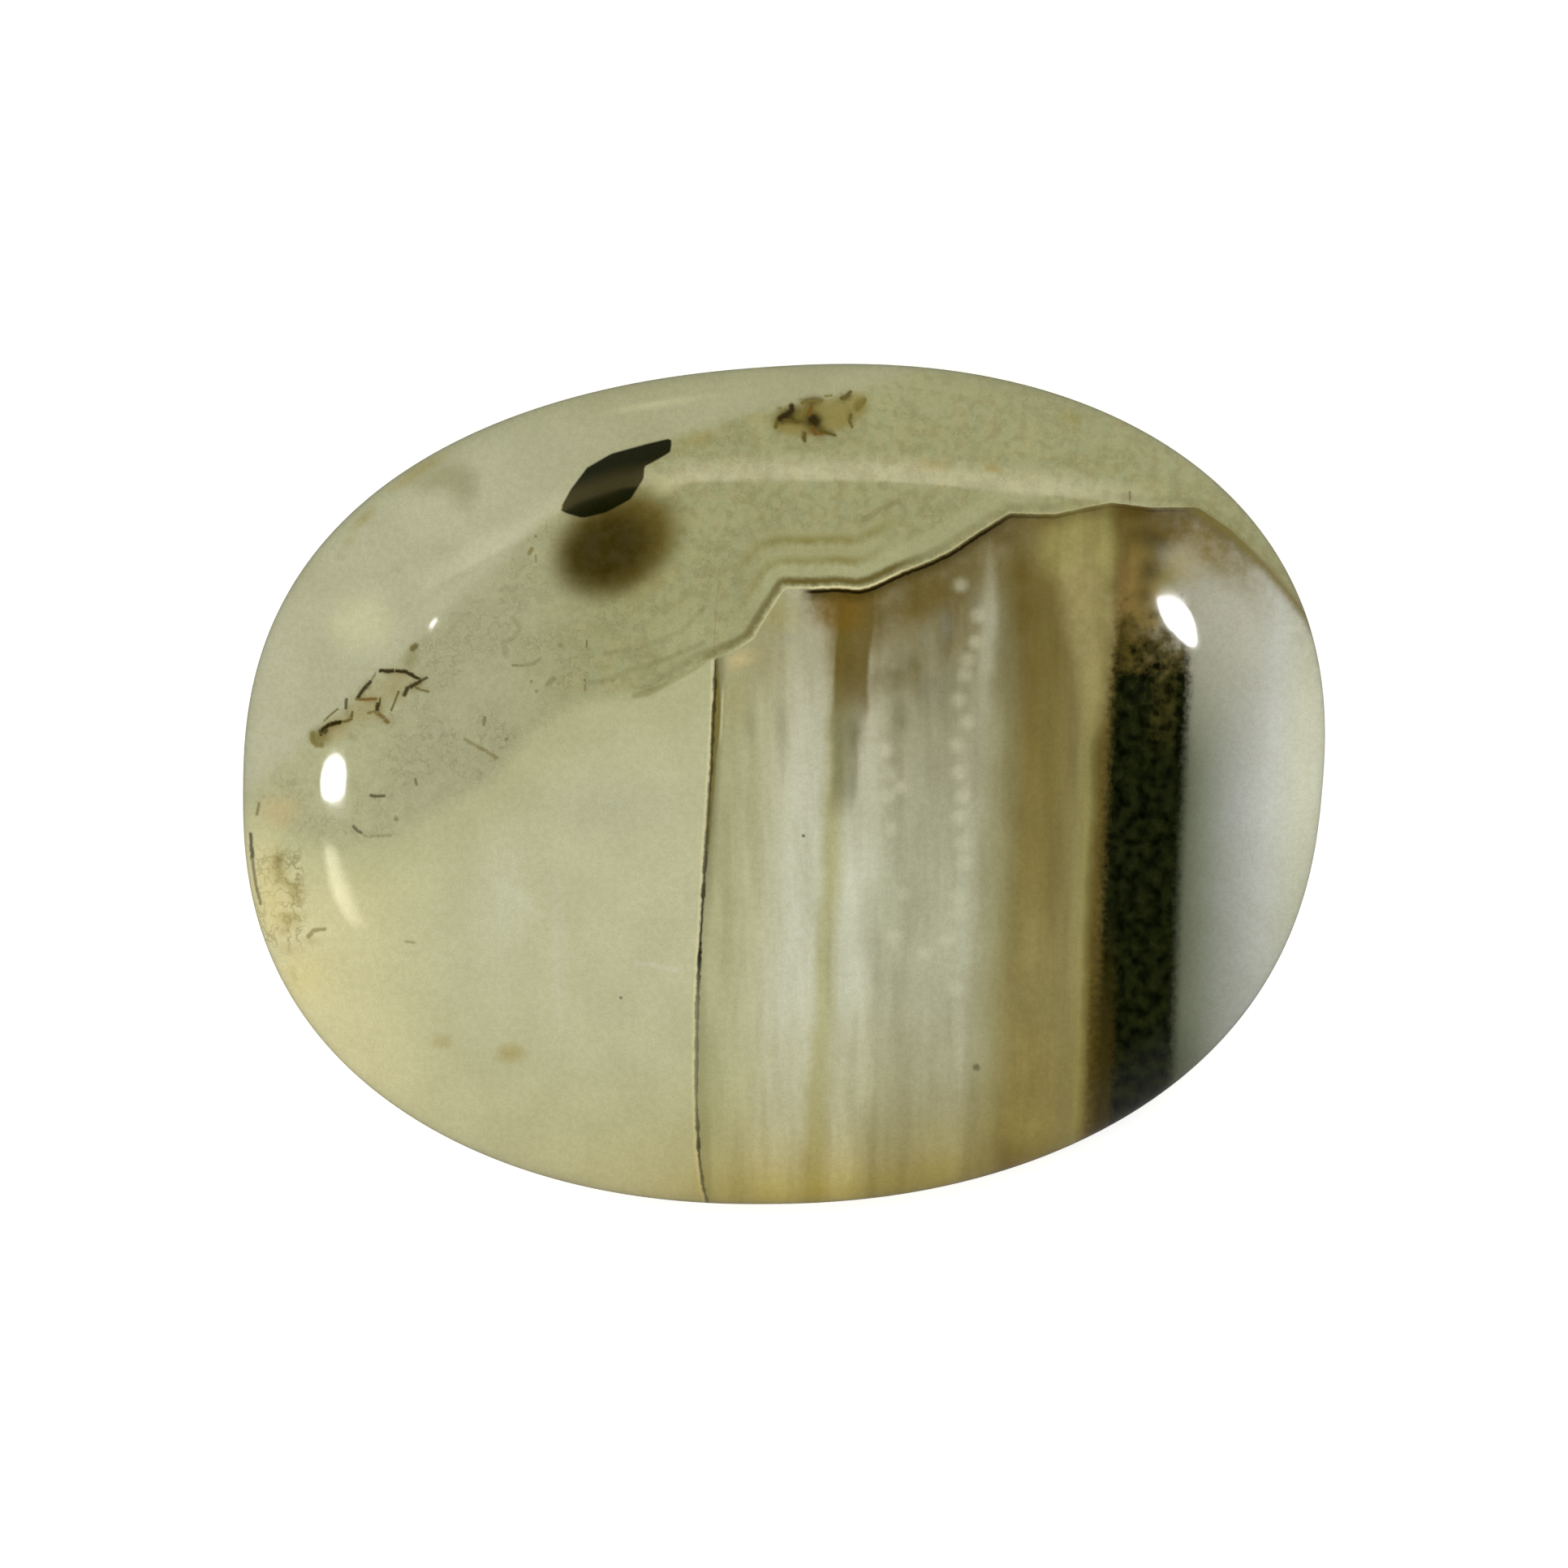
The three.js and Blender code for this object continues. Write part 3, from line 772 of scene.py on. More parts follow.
@dataclass
class Bench:
    """A node tree, with short ways to lay its nodes and join them.

    Only sockets of one kind are joined, number to number, colour to colour and vector to vector. The
    renderer then works through the nodes in the order in which they were laid, and holds few results at once.
    """

    tree: bpy.types.NodeTree
    laid: int = 0
    columns: int = 24
    pitch: tuple[int, int] = (220, -320)

    def lay(self, kind: str, inputs: dict | None = None, **settings: object) -> bpy.types.Node:
        """Lay one node.

        Args:
            kind: Blender's name for the node type, after ShaderNode.
            inputs: What goes into its sockets, by name or number.
            **settings: The node's own settings.

        Returns:
            The node.
        """
        node = self.tree.nodes.new("ShaderNode" + kind)
        row, column = divmod(self.laid, self.columns)
        node.location = (self.pitch[0] * column, self.pitch[1] * row)
        self.laid += 1
        for name, setting in settings.items():
            setattr(node, name, setting)
        for key, value in (inputs or {}).items():
            self.feed(node.inputs[key], value)
        return node

    def feed(self, socket: Socket, value: Value) -> None:
        """Join a socket to another, or set it to a fixed value.

        Args:
            socket: The socket that is fed.
            value: What feeds it.
        """
        if isinstance(value, bpy.types.NodeSocket):
            self.tree.links.new(value, socket)
        else:
            socket.default_value = value.linear if isinstance(value, Tint) else value

    def math(self, operation: str, *values: Value) -> Socket:
        """Work out one number from others, by an operation of the Math node."""
        return self.lay("Math", dict(enumerate(values)), operation=operation).outputs[0]

    def product(self, *values: Value) -> Socket:
        """Multiply numbers, fixed ones or sockets."""
        return reduce(lambda result, value: self.math("MULTIPLY", result, value), values)

    def smooth(self, value: Value, low: Value, high: Value, start: float = 0.0, end: float = 1.0) -> Socket:
        """Rise smoothly from a start to an end, while a number goes from a low value to a high one."""
        inputs = {"Value": value, "From Min": low, "From Max": high, "To Min": start, "To Max": end}
        return self.lay("MapRange", inputs, interpolation_type="SMOOTHSTEP").outputs["Result"]

    def rise(self, value: Value, low: float, high: float, start: float = 0.0, end: float = 1.0) -> Socket:
        """Do as smooth does between fixed values, of which the first may be the greater."""
        bounds = (high, low, end, start) if low > high else (low, high, start, end)
        return self.smooth(value, *bounds)

    def ramp(self, value: Value, stops: tuple[tuple[float, tuple], ...]) -> bpy.types.Node:
        """Follow straight lines between colours.

        Args:
            value: The number that is looked at.
            stops: Pairs of a value and the colour there, from low to high.

        Returns:
            The Color Ramp node.
        """
        low, high = stops[0][0], stops[-1][0]
        place = self.lay("MapRange", {"Value": value, "From Min": low, "From Max": high})
        ramp = self.lay("ValToRGB", {"Fac": place.outputs["Result"]})
        elements = ramp.color_ramp.elements
        for number, (at, colour) in enumerate(stops):
            share = (at - low) / (high - low)
            element = elements[number] if number in (0, 1) else elements.new(share)
            element.position, element.color = share, colour
        return ramp

    def steps(self, value: Value, *stops: tuple[float, float]) -> Socket:
        """Follow straight lines between numbers, given as pairs of a value and the result there."""
        return self.ramp(value, tuple((at, (1, 1, 1, result)) for at, result in stops)).outputs["Alpha"]

    def tints(self, value: Value, stops: tuple[tuple[float, Tint], ...]) -> Socket:
        """Follow straight lines between tints, given as pairs of a value and the tint there."""
        return self.ramp(value, tuple((at, tint.linear) for at, tint in stops)).outputs["Color"]

    def mix(self, mask: Value, under: Value, over: Value, blend: str = "MIX") -> Socket:
        """Lay one colour over another, as far as a mask shows it."""
        inputs = {0: mask, 6: under, 7: over}
        return self.lay("Mix", inputs, data_type="RGBA", blend_type=blend, clamp_factor=True).outputs[2]

    def noise(self, place: Value, scale: float, detail: float = 2.0, roughness: float = 0.5) -> Socket:
        """Give soft flat noise with its middle at one half. Its scale is in cells to the millimetre."""
        inputs = {"Vector": place, "Scale": scale, "Detail": detail, "Roughness": roughness}
        return self.lay("TexNoise", inputs, noise_dimensions="2D").outputs["Fac"]

    def effect(self, tree: bpy.types.NodeTree, **inputs: Value) -> Socket:
        """Place a node group, whose inputs are named with _ for a space, and give its output."""
        named = {name.replace("_", " ").capitalize(): value for name, value in inputs.items()}
        return self.lay("Group", named, node_tree=tree).outputs[0]


class Effects:
    """The node groups that the painting uses again and again. Each is built once."""

    def __init__(self) -> None:
        """Build every group."""
        self.band = self.build_band()
        self.line = self.build_line()

    @staticmethod
    def group(name: str, inputs: dict[str, float]) -> tuple[Bench, dict[str, Socket], Socket]:
        """Start a node group that gives a mask.

        Args:
            name: The group's name.
            inputs: The name and resting value of each input.

        Returns:
            The bench in the group, its input sockets by name, and the socket of its mask.
        """
        tree = bpy.data.node_groups.new(name, "ShaderNodeTree")
        tree.interface.new_socket("Mask", in_out="OUTPUT", socket_type="NodeSocketFloat")
        for label, resting in inputs.items():
            socket = tree.interface.new_socket(label, in_out="INPUT", socket_type="NodeSocketFloat")
            socket.default_value = resting
        entry, close = tree.nodes.new("NodeGroupInput"), tree.nodes.new("NodeGroupOutput")
        return Bench(tree), {socket.name: socket for socket in entry.outputs if socket.name}, close.inputs[0]

    def build_band(self) -> bpy.types.NodeTree:
        """Build a mask that is 1 between two edges.

        Returns:
            The group.
        """
        bench, given, mask = self.group("Band", {"Across": 0.0, "Left": 0.0, "Right": 1.0, "Soft": 0.1})
        half = bench.math("MULTIPLY", given["Soft"], 0.5)
        sides = []
        for edge in ("Left", "Right"):
            low, high = bench.math("SUBTRACT", given[edge], half), bench.math("ADD", given[edge], half)
            sides.append(bench.smooth(given["Across"], low, high))
        bench.feed(mask, bench.math("SUBTRACT", *sides))
        return bench.tree

    def build_line(self) -> bpy.types.NodeTree:
        """Build a mask that follows a bedding line at an offset.

        Returns:
            The group.
        """
        resting = {"Distance": 0.0, "Offset": 0.0, "Half width": 0.1, "Soft": 0.05}
        bench, given, mask = self.group("Bedding line", resting)
        away = bench.math("ABSOLUTE", bench.math("SUBTRACT", given["Distance"], given["Offset"]))
        low, high = (bench.math(way, given["Half width"], given["Soft"]) for way in ("SUBTRACT", "ADD"))
        bench.feed(mask, bench.smooth(away, low, high, 1.0, 0.0))
        return bench.tree


@dataclass(kw_only=True)
class AgatePainting(Bench):
    """Lays the stone's colours, from the oldest growth to the stains, in the tree of its material."""

    effects: Effects
    band_lean: float = 0.055
    band_spread: float = 0.00036

    def __post_init__(self) -> None:
        """Read what is laid on the mesh, and make the noises that all layers share."""
        self.place = self.read("place")
        self.x, self.y, self.z = self.split(self.place)
        self.front, self.crack, self.clear_edge = self.split(self.read("bedding"))
        self.on_crown = self.rise(self.z, 1.2, 2.4)
        # The place across the upright bands, which lean and spread a little towards the girdle.
        spread = self.math("MULTIPLY_ADD", self.product(self.y, self.y), -self.band_spread, 1.0)
        self.across = self.math("MULTIPLY_ADD", self.y, -self.band_lean, self.product(self.x, spread))
        self.clouds = self.noise(self.place, 0.6, 2.0)
        self.mottle = self.noise(self.place, 2.0, 3.0, 0.6)
        self.flecks = self.noise(self.place, 3.0, 2.0)
        self.crumbs = self.noise(self.place, 5.5, 3.0, 0.6)
        self.front = self.stray(self.front, self.crumbs, 0.05)
        self.colour: Value = Tint.MILK
        self.sheen: Value = Tint.CLEAR

    def read(self, name: str) -> Socket:
        """Read a vector attribute of the mesh."""
        return self.lay("Attribute", attribute_name=name).outputs["Vector"]

    def read_colour(self, name: str) -> tuple[Socket, Socket]:
        """Read a colour attribute of the mesh, as its colour and its alpha."""
        outputs = self.lay("Attribute", attribute_name=name).outputs
        return outputs["Color"], outputs["Alpha"]

    def split(self, vector: Socket) -> list[Socket]:
        """Give the three numbers of a vector."""
        return list(self.lay("SeparateXYZ", {0: vector}).outputs)

    def stray(self, value: Socket, noise: Socket, reach: float) -> Socket:
        """Shift a number at random, by up to half the reach either way."""
        return self.math("MULTIPLY_ADD", self.math("SUBTRACT", noise, 0.5), reach, value)

    def coat(self, tint: Tint, strength: float, *masks: Value, blend: str = "MIX") -> None:
        """Lay a tint over what is there, where all of its masks are."""
        shown = self.product(*masks, *(() if strength == 1.0 else (strength,)))
        self.colour = self.mix(shown, self.colour, tint, blend)

    def soak(self, name: str, evenness: float) -> None:
        """Lay a wash of stains that the mesh carries.

        Args:
            name: The wash's name.
            evenness: How much of the wash shows where the stone has taken least of it.
        """
        wash, hidden = self.read_colour(name)
        taken = self.rise(self.mottle, 0.3, 0.7, evenness, 1.0)
        ground = self.mix(self.product(hidden, taken), self.colour, (0.0, 0.0, 0.0, 1.0))
        self.colour = self.mix(taken, ground, wash, "ADD")

    def window(self, value: Value, left: float, right: float, soft: float) -> Socket:
        """Give a mask that is 1 between two edges of the same softness."""
        return self.effect(self.effects.band, across=value, left=left, right=right, soft=soft)

    def line(self, distance: Value, offset: float, half_width: Value, soft: float) -> Socket:
        """Give a mask that follows a bedding line at an offset."""
        inputs = {"distance": distance, "offset": offset, "half_width": half_width, "soft": soft}
        return self.effect(self.effects.line, **inputs)

    def fibres(self, fineness: float, squeeze: float) -> Socket:
        """Give noise that is drawn out along the upright bands, the more so the smaller its squeeze."""
        inputs = {"Vector": self.place, "Rotation": (0.0, 0.0, self.band_lean), "Scale": (1.0, squeeze, 1.0)}
        return self.noise(self.lay("Mapping", inputs).outputs["Vector"], fineness, 3.0)

    def paint(self) -> None:
        """Lay every marking in order."""
        self.lay_milk()
        self.lay_upright_bands()
        self.lay_moss()
        self.lay_glassy_corner()
        self.lay_seam()
        self.lay_crack()
        self.lay_corner_net()
        self.lay_rims()
        self.soak("top stain", 0.95)
        self.lay_flake()
        self.lay_threads()
        self.lay_grain()

    def lay_milk(self) -> None:
        """Lay the milky body under the growth front, with its warmer left end."""
        self.coat(Tint.MILK_SHADE, 1.0, self.rise(self.front, -3.2, 0.2))
        self.coat(Tint.CREAM, 0.85, self.rise(self.x, -8.0, -13.5), self.rise(self.front, 0.5, -2.0))

    def lay_upright_bands(self) -> None:
        """Lay the upright bands right of the crack, under the growth front."""
        milk = self.colour
        wavy = self.stray(self.across, self.clouds, 0.25)
        self.colour = self.tints(self.across, FAR_BAND_SEQUENCE)
        self.coat(Tint.SLATE_PALE, 1.0, self.rise(self.y, 1.0, -7.0, 0.0, 0.34))
        dusk = self.rise(self.y, -5.5, -8.0, 0.0, 0.5)
        self.coat(Tint.SLATE, 1.0, dusk, self.rise(self.across, 12.4, 11.0))
        clear = self.rise(self.y, -0.5, 5.2, 0.0, 0.78)
        self.coat(Tint.LAVENDER, 1.0, clear, self.rise(self.across, 13.6, 12.4, 0.3, 1.0))
        near = self.rise(self.across, 10.6, 9.0)
        self.colour = self.mix(near, self.colour, self.tints(wavy, BAND_SEQUENCE))
        # The bands grow darker and browner higher up, towards the growth front.
        upward_brown = self.steps(self.y, (-2.5, 0), (0, 0.16), (1.7, 0.34), (3.45, 0.68), (5.2, 0.9))
        weak = self.steps(self.across, (-2, 0.4), (0.2, 0.5), (1.2, 1), (5.2, 1), (6.8, 0.4))
        self.coat(Tint.UPWARD_BROWN, 1.0, upward_brown, near, weak, blend="MULTIPLY")
        drifts = self.fibres(1.1, 0.45)
        smoke = self.product(self.rise(self.y, 1.0, 4.5), self.window(self.across, 1.0, 5.6, 0.8))
        self.coat(Tint.UMBER_GREY, 0.75, smoke, self.rise(drifts, 0.5, 0.75))
        self.coat(Tint.BLUE_GREY, 0.4, smoke, self.rise(drifts, 0.5, 0.25))
        for streak in STREAKS:
            sides = self.window(wavy, streak.left, streak.right, streak.soft)
            ends = self.window(self.y, streak.low, streak.high, streak.fade)
            self.coat(streak.tint, streak.strength, sides, ends)
        self.soak("band stain", 0.7)
        self.coat(Tint.FIBRE, 0.45, self.rise(self.fibres(1.7, 0.12), 0.35, 0.75), near, blend="MULTIPLY")
        self.lay_black_band()
        self.lay_under_front()
        right, below = self.rise(self.crack, -0.01, 0.01), self.rise(self.front, 0.01, -0.01)
        self.colour = self.mix(self.product(right, below), milk, self.colour)

    def lay_black_band(self) -> None:
        """Lay the black band, which breaks up into brown towards the growth front."""
        ragged = self.stray(self.across, self.crumbs, 0.3)
        height = self.stray(self.stray(self.y, self.mottle, 2.4), self.flecks, 1.8)
        bark = self.product(
            self.window(ragged, 8.80, 10.80, 0.30), self.rise(height, 5.0, 3.6), self.rise(self.y, 0.8, 2.2)
        )
        self.coat(Tint.BARK, 0.9, bark)
        self.coat(Tint.BRONZE, 0.22, bark, self.rise(self.flecks, 0.10, 0.90))
        soot = self.mix(self.rise(self.flecks, 0.18, 0.87), Tint.SOOT, Tint.SOOT_FLECK)
        sides = self.product(self.rise(ragged, 8.60, 9.02), self.rise(ragged, 11.12, 10.72))
        self.colour = self.mix(self.product(sides, self.rise(height, 4.0, 2.7)), self.colour, soot)
        self.coat(Tint.BARK, 0.7, self.window(ragged, 8.60, 9.25, 0.3), self.rise(self.y, -3.0, -7.5))
        worn = self.product(self.window(ragged, 9.90, 10.60, 0.25), self.window(self.y, 1.2, 4.0, 1.2))
        self.coat(Tint.BRONZE, 0.22, worn, self.rise(self.flecks, 0.15, 0.90))

    def lay_under_front(self) -> None:
        """Lay the darker brown just under the growth front."""
        left = ((0.4, 0), (0.8, 1), (5.8, 1), (6.8, 0.35))
        reach = self.steps(self.x, *left, (8.8, 0.2), (9.6, 0.8), (12.2, 0.8), (13.2, 0.3))
        patchy = self.rise(self.mottle, 0.3, 0.65, 0.3, 1.0)
        self.coat(Tint.UMBER_GREY, 0.6, self.rise(self.front, -1.6, -0.3), patchy, reach)
        self.coat(Tint.UMBER_DEEP, 0.75, self.rise(self.front, -0.5, -0.12), reach)

    def lay_moss(self) -> None:
        """Lay the mossy growth over the front, with the lines that follow it."""
        ground = self.colour
        self.colour = self.mix(self.rise(self.mottle, 0.35, 0.65), Tint.MOSS, Tint.MOSS_GREEN)
        self.coat(Tint.MOSS_PALE, 1.0, self.rise(self.x, -4.5, -8.5, 0.0, 0.85))
        self.coat(Tint.MILK_SHADE, 1.0, self.rise(self.x, -9.3, -12.3, 0.0, 0.6))
        net = self.line(self.flecks, 0.5, 0.018, 0.035)
        self.coat(Tint.OLIVE, 0.30, net, self.rise(self.clouds, 0.40, 0.56))
        freckles = self.rise(self.flecks, 0.48, 0.68)
        self.coat(Tint.OLIVE_PALE, 1.0, freckles, self.rise(self.x, -7.5, -3.0, 0.1, 0.4))
        lines = self.tints(self.stray(self.front, self.crumbs, 0.10), FRONT_SEQUENCE)
        reach = self.product(self.window(self.x, -0.8, 2.8, 1.8), self.window(self.front, -0.5, 1.6, 0.4))
        shown = self.product(reach, self.rise(self.clouds, 0.3, 0.6, 0.5, 1.0))
        self.colour = self.mix(shown, self.colour, lines)
        pale = self.window(self.x, 2.5, 7.0, 1.5)
        self.coat(Tint.SAGE, 0.6, pale, self.window(self.front, 0.20, 0.75, 0.25))
        left = ((-4.5, 0), (-2.4, 0.3), (-1.4, 0.6), (-0.4, 0.7))
        brown = self.steps(self.x, *left, (0.2, 0.9), (3, 0.9), (3.8, 0.3), (6, 0.15))
        ragged = self.stray(self.front, self.crumbs, 0.06)
        self.coat(Tint.OLIVE, 1.0, brown, self.line(ragged, 0.19, 0.10, 0.08))
        soft = self.rise(self.x, -2.5, -4.5, 0.02, 0.35)
        over = self.smooth(self.front, self.math("MULTIPLY", soft, -1.0), soft)
        self.colour = self.mix(over, ground, self.colour)

    def lay_glassy_corner(self) -> None:
        """Lay the clearer growth of the upper left corner."""
        glassy = self.mix(self.rise(self.x, -9.0, -4.0), Tint.GLASSY, Tint.GLASSY_TOP)
        self.colour = self.mix(self.rise(self.clear_edge, -0.2, 0.35), self.colour, glassy)

    def lay_seam(self) -> None:
        """Lay the pale fringe of the growth front and the dark seam under it."""
        left = ((-1.8, 0), (-0.8, 0.45), (0.6, 0.5), (0.8, 1))
        pale = self.steps(self.x, *left, (2.9, 1), (3.4, 0.5), (5.4, 0.25), (11.8, 0))
        self.coat(Tint.FRINGE, 1.0, self.line(self.front, 0.01, 0.03, 0.025), pale)
        left = ((0.5, 0), (0.75, 0.95), (5.5, 0.9), (6.4, 0.5))
        dark = self.steps(self.x, *left, (9, 0.2), (9.9, 0.2), (10.1, 0.5), (11.3, 0))
        self.coat(Tint.INK, 1.0, self.line(self.front, -0.10, 0.04, 0.03), dark)
        self.coat(Tint.BRONZE, 0.9, self.line(self.front, -0.10, 0.12, 0.14), self.rise(self.x, 10.9, 11.6))

    def lay_crack(self) -> None:
        """Lay the healed crack between the milky body and the upright bands."""
        below = self.rise(self.front, 0.02, -0.12)
        shade = self.product(self.rise(self.crack, 0.36, 0.06), self.rise(self.crack, -0.03, 0.0), below)
        self.coat(Tint.GREY_STAIN, 1.0, shade, self.rise(self.y, -5.0, -0.5, 0.2, 0.75))
        self.coat(Tint.FRINGE, 0.6, self.line(self.crack, -0.09, 0.035, 0.025), below)
        opening = self.steps(self.y, (-3, 0), (-1, 0.05), (0.7, 0.07), (1.9, 0.13), (3.2, 0.02))
        filled = self.line(self.crack, 0.06, opening, 0.03)
        self.coat(Tint.BRONZE, 0.8, filled, self.rise(self.y, -3.0, -1.5), below)
        lip = self.line(self.crack, 0.22, 0.03, 0.03)
        self.coat(Tint.FRINGE, 0.5, lip, self.window(self.y, 1.2, 2.6, 0.6))
        lower = ((-11, 0.6), (-10, 0.8), (-8.7, 0.5), (-6.1, 0.5))
        strength = self.steps(self.y, *lower, (-4.7, 0.95), (-3.4, 0.9), (-0.8, 0.55), (2.5, 0.75))
        width = self.rise(self.mottle, 0.4, 0.6, 0.03, 0.06)
        dark = self.line(self.stray(self.crack, self.crumbs, 0.05), 0.0, width, 0.03)
        self.coat(Tint.INK, 1.0, dark, strength, below)

    def lay_corner_net(self) -> None:
        """Lay the fine olive veins of the lower left corner."""
        patch = self.product(self.window(self.x, -14.6, -13.2, 0.4), self.window(self.y, -4.5, -1.8, 0.7))
        self.coat(Tint.OLIVE, 0.5, self.line(self.flecks, 0.48, 0.04, 0.05), patch)

    def lay_rims(self) -> None:
        """Lay the colours towards the girdle: an olive tint over the top rim, a painted amber glow of light
        shining through the thin foot, and a brown darkening at the bottom edge.
        """
        rim, top = self.rise(self.z, 4.5, 2.2), self.rise(self.y, 3.0, 8.5)
        self.coat(Tint.OLIVE_RIM, 0.6, rim, top, self.rise(self.x, 11.0, 6.5, 0.2, 1.0))
        foot = self.product(self.rise(self.z, 6.4, 3.0), self.rise(self.y, -2.0, -8.4))
        left = ((-13, 0), (-9, 0.2), (-5, 0.4), (-3, 0.6))
        bottom_reach = self.steps(self.x, *left, (-0.5, 0.95), (4.4, 0.95), (6.4, 0.6), (10, 0))
        # Painted light: amber over the foot, where light shines through the thin stone.
        self.coat(Tint.AMBER_LIGHT_THROUGH, 1.0, foot, bottom_reach, blend="MULTIPLY")
        self.coat(Tint.UMBER, 0.3, self.rise(self.z, 3.6, 2.2), self.rise(self.y, -8.0, -10.0), bottom_reach)

    def lay_flake(self) -> None:
        """Lay the dark flake, which is crisp all round and has a warmer sheen than the rest."""
        inside = self.lay("Attribute", attribute_name="flake").outputs["Fac"]
        mask = self.product(self.rise(inside, -0.03, 0.03), self.on_crown)
        self.coat(Tint.FLAKE, 0.97, mask)
        self.sheen = self.mix(mask, Tint.CLEAR, Tint.FLAKE_SHEEN)

    def lay_threads(self) -> None:
        """Lay the threads and dots that the faces of the mesh carry, with ragged edges."""
        along, across, reach = self.split(self.read("thread"))
        tint, strength = self.read_colour("thread tint")
        past = self.math("MAXIMUM", self.math("SUBTRACT", self.math("ABSOLUTE", along), reach), 0.0)
        strayed = self.stray(across, self.crumbs, 1.1)
        away = self.math("SQRT", self.math("MULTIPLY_ADD", past, past, self.product(strayed, strayed)))
        mask = self.product(self.rise(away, 1.25, 0.35), strength, self.on_crown)
        self.colour = self.mix(mask, self.colour, tint)

    def lay_grain(self) -> None:
        """Lay the fine grain of the chalcedony over everything."""
        for grain, strength in ((self.clouds, 0.4), (self.crumbs, 0.5), (self.noise(self.place, 17.0), 0.5)):
            self.coat(Tint.GRAIN, strength, self.rise(grain, 0.3, 0.7), blend="MULTIPLY")


@dataclass(frozen=True)
class AgateFinish:
    """The polished surface: glassy and a little translucent, with its gloss a little uneven and a fine groove
    along the crack.
    """

    name: str = "polished agate"
    refraction: float = 1.54
    subsurface: float = 0.22
    subsurface_radius: tuple[float, float, float] = (1.0, 0.85, 0.55)
    subsurface_depth: float = 0.9
    gloss: float = 0.055
    wear: float = 0.05
    groove_depth: float = 0.01

    def material(self, effects: Effects) -> bpy.types.Material:
        """Build the finish.

        Args:
            effects: The shared node groups.

        Returns:
            The material.
        """
        material = bpy.data.materials.new(self.name)
        painting = AgatePainting(bare_tree(material), effects=effects)
        painting.paint()
        wear = painting.rise(painting.clouds, 0.4, 0.7, self.gloss, self.gloss + self.wear)
        groove = painting.line(painting.crack, 0.0, 0.03, 0.025)
        bump = painting.lay("Bump", {"Height": groove, "Distance": self.groove_depth * MM}, invert=True)
        inputs = {
            "Base Color": painting.colour,
            "Roughness": wear,
            "IOR": self.refraction,
            "Specular Tint": painting.sheen,
            "Subsurface Weight": self.subsurface,
            "Subsurface Radius": self.subsurface_radius,
            "Subsurface Scale": self.subsurface_depth * MM,
            "Normal": bump.outputs["Normal"],
        }
        shader = painting.lay("BsdfPrincipled", inputs)
        painting.lay("OutputMaterial", {"Surface": shader.outputs[0]})
        return material


@dataclass
class AgateStone:
    """The stone itself, in place of the plain solid of the frame."""

    form: StoneForm
    finish: AgateFinish
    name: str = "polished_agate"

    def build(self, effects: Effects) -> bpy.types.Object:
        """Build the stone, dress it and put it in the frame.

        Args:
            effects: The shared node groups.

        Returns:
            The stone.
        """
        stone = StoneMesh(self.form).build(self.name)
        stone.data.materials.append(self.finish.material(effects))
        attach(stone, "root")
        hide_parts(STONE_NODE)
        LOG.info("%s: %d faces", stone.name, len(stone.data.polygons))
        return stone


# The studio


@dataclass(frozen=True)
class Reflector:
    """A bright card or lamp, shaped and placed by where the crown mirrors it to the camera.

    Each rib has the two places on the crown where its ends are mirrored, and its glow where that isn't 1.
    The profile has shares of the way from a rib's start to its end, and the glow there.
    """

    name: str
    brightness: float
    ribs: tuple[tuple[float, ...], ...]
    colour: str = "#ffffff"
    profile: tuple[tuple[float, float], ...] = ((0.0, 1.0), (1.0, 1.0))
    distance: float = 320.0

    def mirrored(self, form: StoneForm, camera: Vector, seen_at: Point) -> Vector:
        """Follow the line of sight from the camera over the crown.

        Args:
            form: The form of the stone.
            camera: Where the camera stands, in millimetres.
            seen_at: The place on the crown.

        Returns:
            The point of the reflector that is seen there, in millimetres.
        """
        point = form.crown_point(*seen_at)
        normal = form.crown_normal(*seen_at)
        sight = (camera - point).normalized()
        return point + (2 * normal.dot(sight) * normal - sight) * self.distance

    def build(self, form: StoneForm, camera: Vector) -> bpy.types.Object:
        """Build the reflector, which only gloss can see.

        Args:
            form: The form of the stone.
            camera: Where the camera stands, in millimetres.

        Returns:
            The reflector.
        """
        points, glows, faces = [], [], []
        rows = len(self.profile)
        for number, rib in enumerate(self.ribs):
            start, end = Vector(rib[:2]), Vector(rib[2:4])
            rib_glow = rib[4] if len(rib) > 4 else 1.0
            for share, glow in self.profile:
                points.append(self.mirrored(form, camera, tuple(start.lerp(end, share))) * MM)
                glows.append(glow * rib_glow)
            if number:
                here, last = number * rows, (number - 1) * rows
                faces += [(last + i, last + i + 1, here + i + 1, here + i) for i in range(rows - 1)]
        card = add_mesh(self.name, points, faces)
        card.data.attributes.new("glow", "FLOAT", "POINT").data.foreach_set("value", glows)
        card.data.materials.append(self.material())
        for ray in ("camera", "diffuse", "transmission", "volume_scatter", "shadow"):
            setattr(card, f"visible_{ray}", False)
        return card

    def material(self) -> bpy.types.Material:
        """Build the glow.

        Returns:
            The material.
        """
        material = bpy.data.materials.new(self.name)
        bench = Bench(bare_tree(material))
        glow = bench.lay("Attribute", attribute_type="GEOMETRY", attribute_name="glow")
        strength = bench.math("MULTIPLY", glow.outputs["Fac"], self.brightness)
        shine = bench.lay("Emission", {"Color": linear_from_hex(self.colour), "Strength": strength})
        bench.lay("OutputMaterial", {"Surface": shine.outputs[0]})
        material.cycles.emission_sampling = "NONE"
        return material


